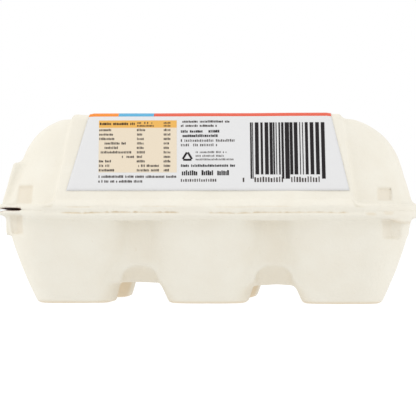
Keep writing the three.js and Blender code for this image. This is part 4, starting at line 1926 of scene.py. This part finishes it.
    def triangle(self) -> None:
        """Lays a sign of three plain bars set in a triangle."""
        half_length, half_stroke = np.array(self.triangle_bar) / 2
        for number in range(3):
            turn = math.radians(30 + 120 * number)
            out = np.array([math.cos(turn), math.sin(turn)])
            along = np.array([-out[1], out[0]])
            flat = [
                out * (self.triangle_reach + outward * half_stroke) + along * onward * half_length
                for onward, outward in ((-1, 1), (1, 1), (1, -1), (-1, -1))
            ]
            corners = np.array([[*spot, height] for height in (-1.0, 1.0) for spot in flat])
            faces = [[0, 1, 2, 3], [7, 6, 5, 4], [1, 0, 4, 5], [2, 1, 5, 6], [3, 2, 6, 7], [0, 3, 7, 4]]
            self.stamp(Finish.BLACK, (corners, np.array(faces)), *self.triangle_at, Side.HINGE)

    def eggs(self) -> None:
        """Lays a row of three pale ovals on the top, as a plain sign of what is inside."""
        points, quads = egg(*self.egg_half)
        rise = np.where(points[:, 2] > 0, self.lift * 2.4, self.sunk)
        up = points[:, 1] + self.label.length / 2
        for number in range(3):
            along = points[:, 0] + number * self.egg_pitch
            self.lay(Finish.SAND, self.label.wrap(along, up, rise), quads)

    def build(self, materials: Materials) -> None:
        """Draws all the print, wraps it and places one piece for each ink.

        Args:
            materials: The materials by finish.
        """
        lines, bars = printed_lines(), printed_bars()
        self.colour_bands()
        for block in self.table() + self.middle_column() + self.large_lines():
            self.text(lines, block, Side.HINGE, materials[block.ink])
        self.bars(bars, materials[Finish.BLACK])
        self.triangle()
        self.eggs()
        for block in self.closing_side():
            self.text(lines, block, Side.CLOSING, materials[block.ink])
        for ink, shapes in self.shapes.items():
            offsets = np.cumsum([0] + [len(points) for points, _ in shapes[:-1]])
            points = np.vstack([points for points, _ in shapes])
            quads = np.vstack([quads + offset for (_, quads), offset in zip(shapes, offsets)])
            name = "print_" + ink.value.removeprefix("offset_ink_")
            mesh = new_mesh(name, points, quads)
            mesh.polygons.foreach_set("use_smooth", np.zeros(len(mesh.polygons), bool))
            place(name, mesh, materials[ink], "label")

    def closing_side(self) -> list[TextBlock]:
        """Lists the greeked lines on the closing flank.

        Returns:
            The greeked lines.
        """
        return [
            TextBlock(
                -30.0, 20.0, 60.0, 2.6, cell=2.2, ink_share=0.7, spaces=0.12, seed=71, ink=Finish.CORAL
            ),
            TextBlock(-24.0, 14.5, 48.0, 1.2, rows=2, pitch=2.6, cell=0.8, ragged=0.2, seed=73),
        ]


def egg(half_x: float, half_y: float, rings: int = 6, count: int = 40) -> Shape:
    """A flat egg shape, narrower at one end, as rings closed by a small middle quad fan.

    Args:
        half_x: Half its width.
        half_y: Half its length.
        rings: How many rings of points its face has.
        count: How many sides it has, a multiple of four.

    Returns:
        Points and quads.
    """
    turn = np.linspace(0, 2 * math.pi, count, endpoint=False)
    oval = np.stack([half_x * np.cos(turn) * (1 - 0.14 * np.sin(turn)), half_y * np.sin(turn)], axis=1)
    shares = np.linspace(1.0, 0.02, rings)
    levels = [np.column_stack([oval * share, np.full(count, -1.0)]) for share in shares[::-1]]
    levels += [np.column_stack([oval * share, np.full(count, 1.0)]) for share in shares]
    points = np.vstack(levels)
    i = np.arange(count)
    j = (i + 1) % count
    quads = [
        np.stack([k * count + i, k * count + j, (k + 1) * count + j, (k + 1) * count + i], axis=1)
        for k in range(len(levels) - 1)
    ]
    half = count // 2
    fan = np.arange(1, half)
    cap = np.stack([fan - 1, fan, count - fan, (count - fan + 1) % count], axis=1)
    top = (len(levels) - 1) * count
    return points, np.vstack([*quads, cap[:, ::-1], cap + top])


@dataclass
class Studio:
    """A pale floor, soft white light from all round, and the camera at the photograph's angle."""

    yaw_deg: float = 4.7
    distance: float = 824.0
    camera_height: float = 34.0
    aim: Triple = (-2.6, -0.21, 34.0)
    sensor: float = 36.0
    focal_px: float = 2219.0
    frame_px: float = 416.0
    floor_half: float = 3000.0
    lamp_size: float = 900.0
    sky: float = 1.0
    floor_glow: float = 0.93

    def camera(self) -> None:
        """Places the camera level with the carton's middle."""
        yaw = math.radians(self.yaw_deg)
        data = bpy.data.cameras.new("camera")
        data.sensor_width = self.sensor
        data.lens = self.focal_px / self.frame_px * self.sensor
        data.clip_start = 0.01
        data.clip_end = 50.0
        camera = bpy.data.objects.new("camera", data)
        bpy.context.scene.collection.objects.link(camera)
        spot = Vector((math.sin(yaw), -math.cos(yaw), 0.0)) * self.distance
        spot.z = self.camera_height
        camera.location = spot * MM
        camera.rotation_euler = (Vector(self.aim) - spot).to_track_quat("-Z", "Y").to_euler()
        bpy.context.scene.camera = camera

    def lamp(self, name: str, spot: Triple, power: float, tint: str) -> None:
        """Hangs one square soft box that faces the carton.

        Args:
            name: The lamp's name.
            spot: Its place in millimetres.
            power: Its power in watts.
            tint: Its colour.
        """
        data = bpy.data.lights.new(name, "AREA")
        data.size = self.lamp_size * MM
        data.energy = power
        data.color = linear(tint)[:3]
        lamp = bpy.data.objects.new(name, data)
        bpy.context.scene.collection.objects.link(lamp)
        aim = Vector((0.0, 0.0, SEAM_Z)) - Vector(spot)
        lamp.location = Vector(spot) * MM
        lamp.rotation_euler = aim.to_track_quat("-Z", "Y").to_euler()

    def light(self) -> None:
        """Sets a white surround and two soft boxes, the stronger at the upper left."""
        world = bpy.data.worlds.new("surround")
        world.use_nodes = True
        background = world.node_tree.nodes["Background"]
        background.inputs["Color"].default_value = (1.0, 1.0, 1.0, 1.0)
        background.inputs["Strength"].default_value = self.sky
        bpy.context.scene.world = world
        self.lamp("key", (-1300.0, -350.0, 1000.0), 6.0, "fffdfa")
        self.lamp("fill", (1300.0, -350.0, 800.0), 3.6, "ffffff")

    def floor(self) -> None:
        """Lays the pale floor."""
        corners = ((-1, -1), (1, -1), (1, 1), (-1, 1))
        points = np.array([[x * self.floor_half, y * self.floor_half, 0.0] for x, y in corners])
        mesh = new_mesh("floor", points, np.array([[0, 1, 2, 3]]))
        material, tree = blank_material("matt_white_sweep")
        looks = {
            "Base Color": linear("5a5a5a"),
            "Roughness": 0.9,
            "Emission Color": linear("ffffff"),
            "Emission Strength": self.floor_glow,
        }
        shader = add(tree, "ShaderNodeBsdfPrincipled", looks)
        add(tree, "ShaderNodeOutputMaterial", {"Surface": shader.outputs[0]})
        mesh.materials.append(material)
        floor = bpy.data.objects.new("floor", mesh)
        bpy.context.scene.collection.objects.link(floor)

    def build(self) -> None:
        """Sets the whole studio."""
        self.camera()
        self.light()
        self.floor()
        bpy.context.scene.view_settings.view_transform = "Standard"


def main() -> None:
    """Builds the studio, the carton and its label in order."""
    logging.basicConfig(level=logging.INFO, format="%(name)s %(message)s")
    Studio().build()
    materials = finishes()
    skin, seam = PulpSkin(), Seam()
    Lid(skin, seam).build(materials)
    Tray(skin, seam).build(materials)
    Hinge().build(materials)
    label = Label()
    label.build(materials)
    Artwork(label).build(materials)


if __name__ == "__main__":
    main()
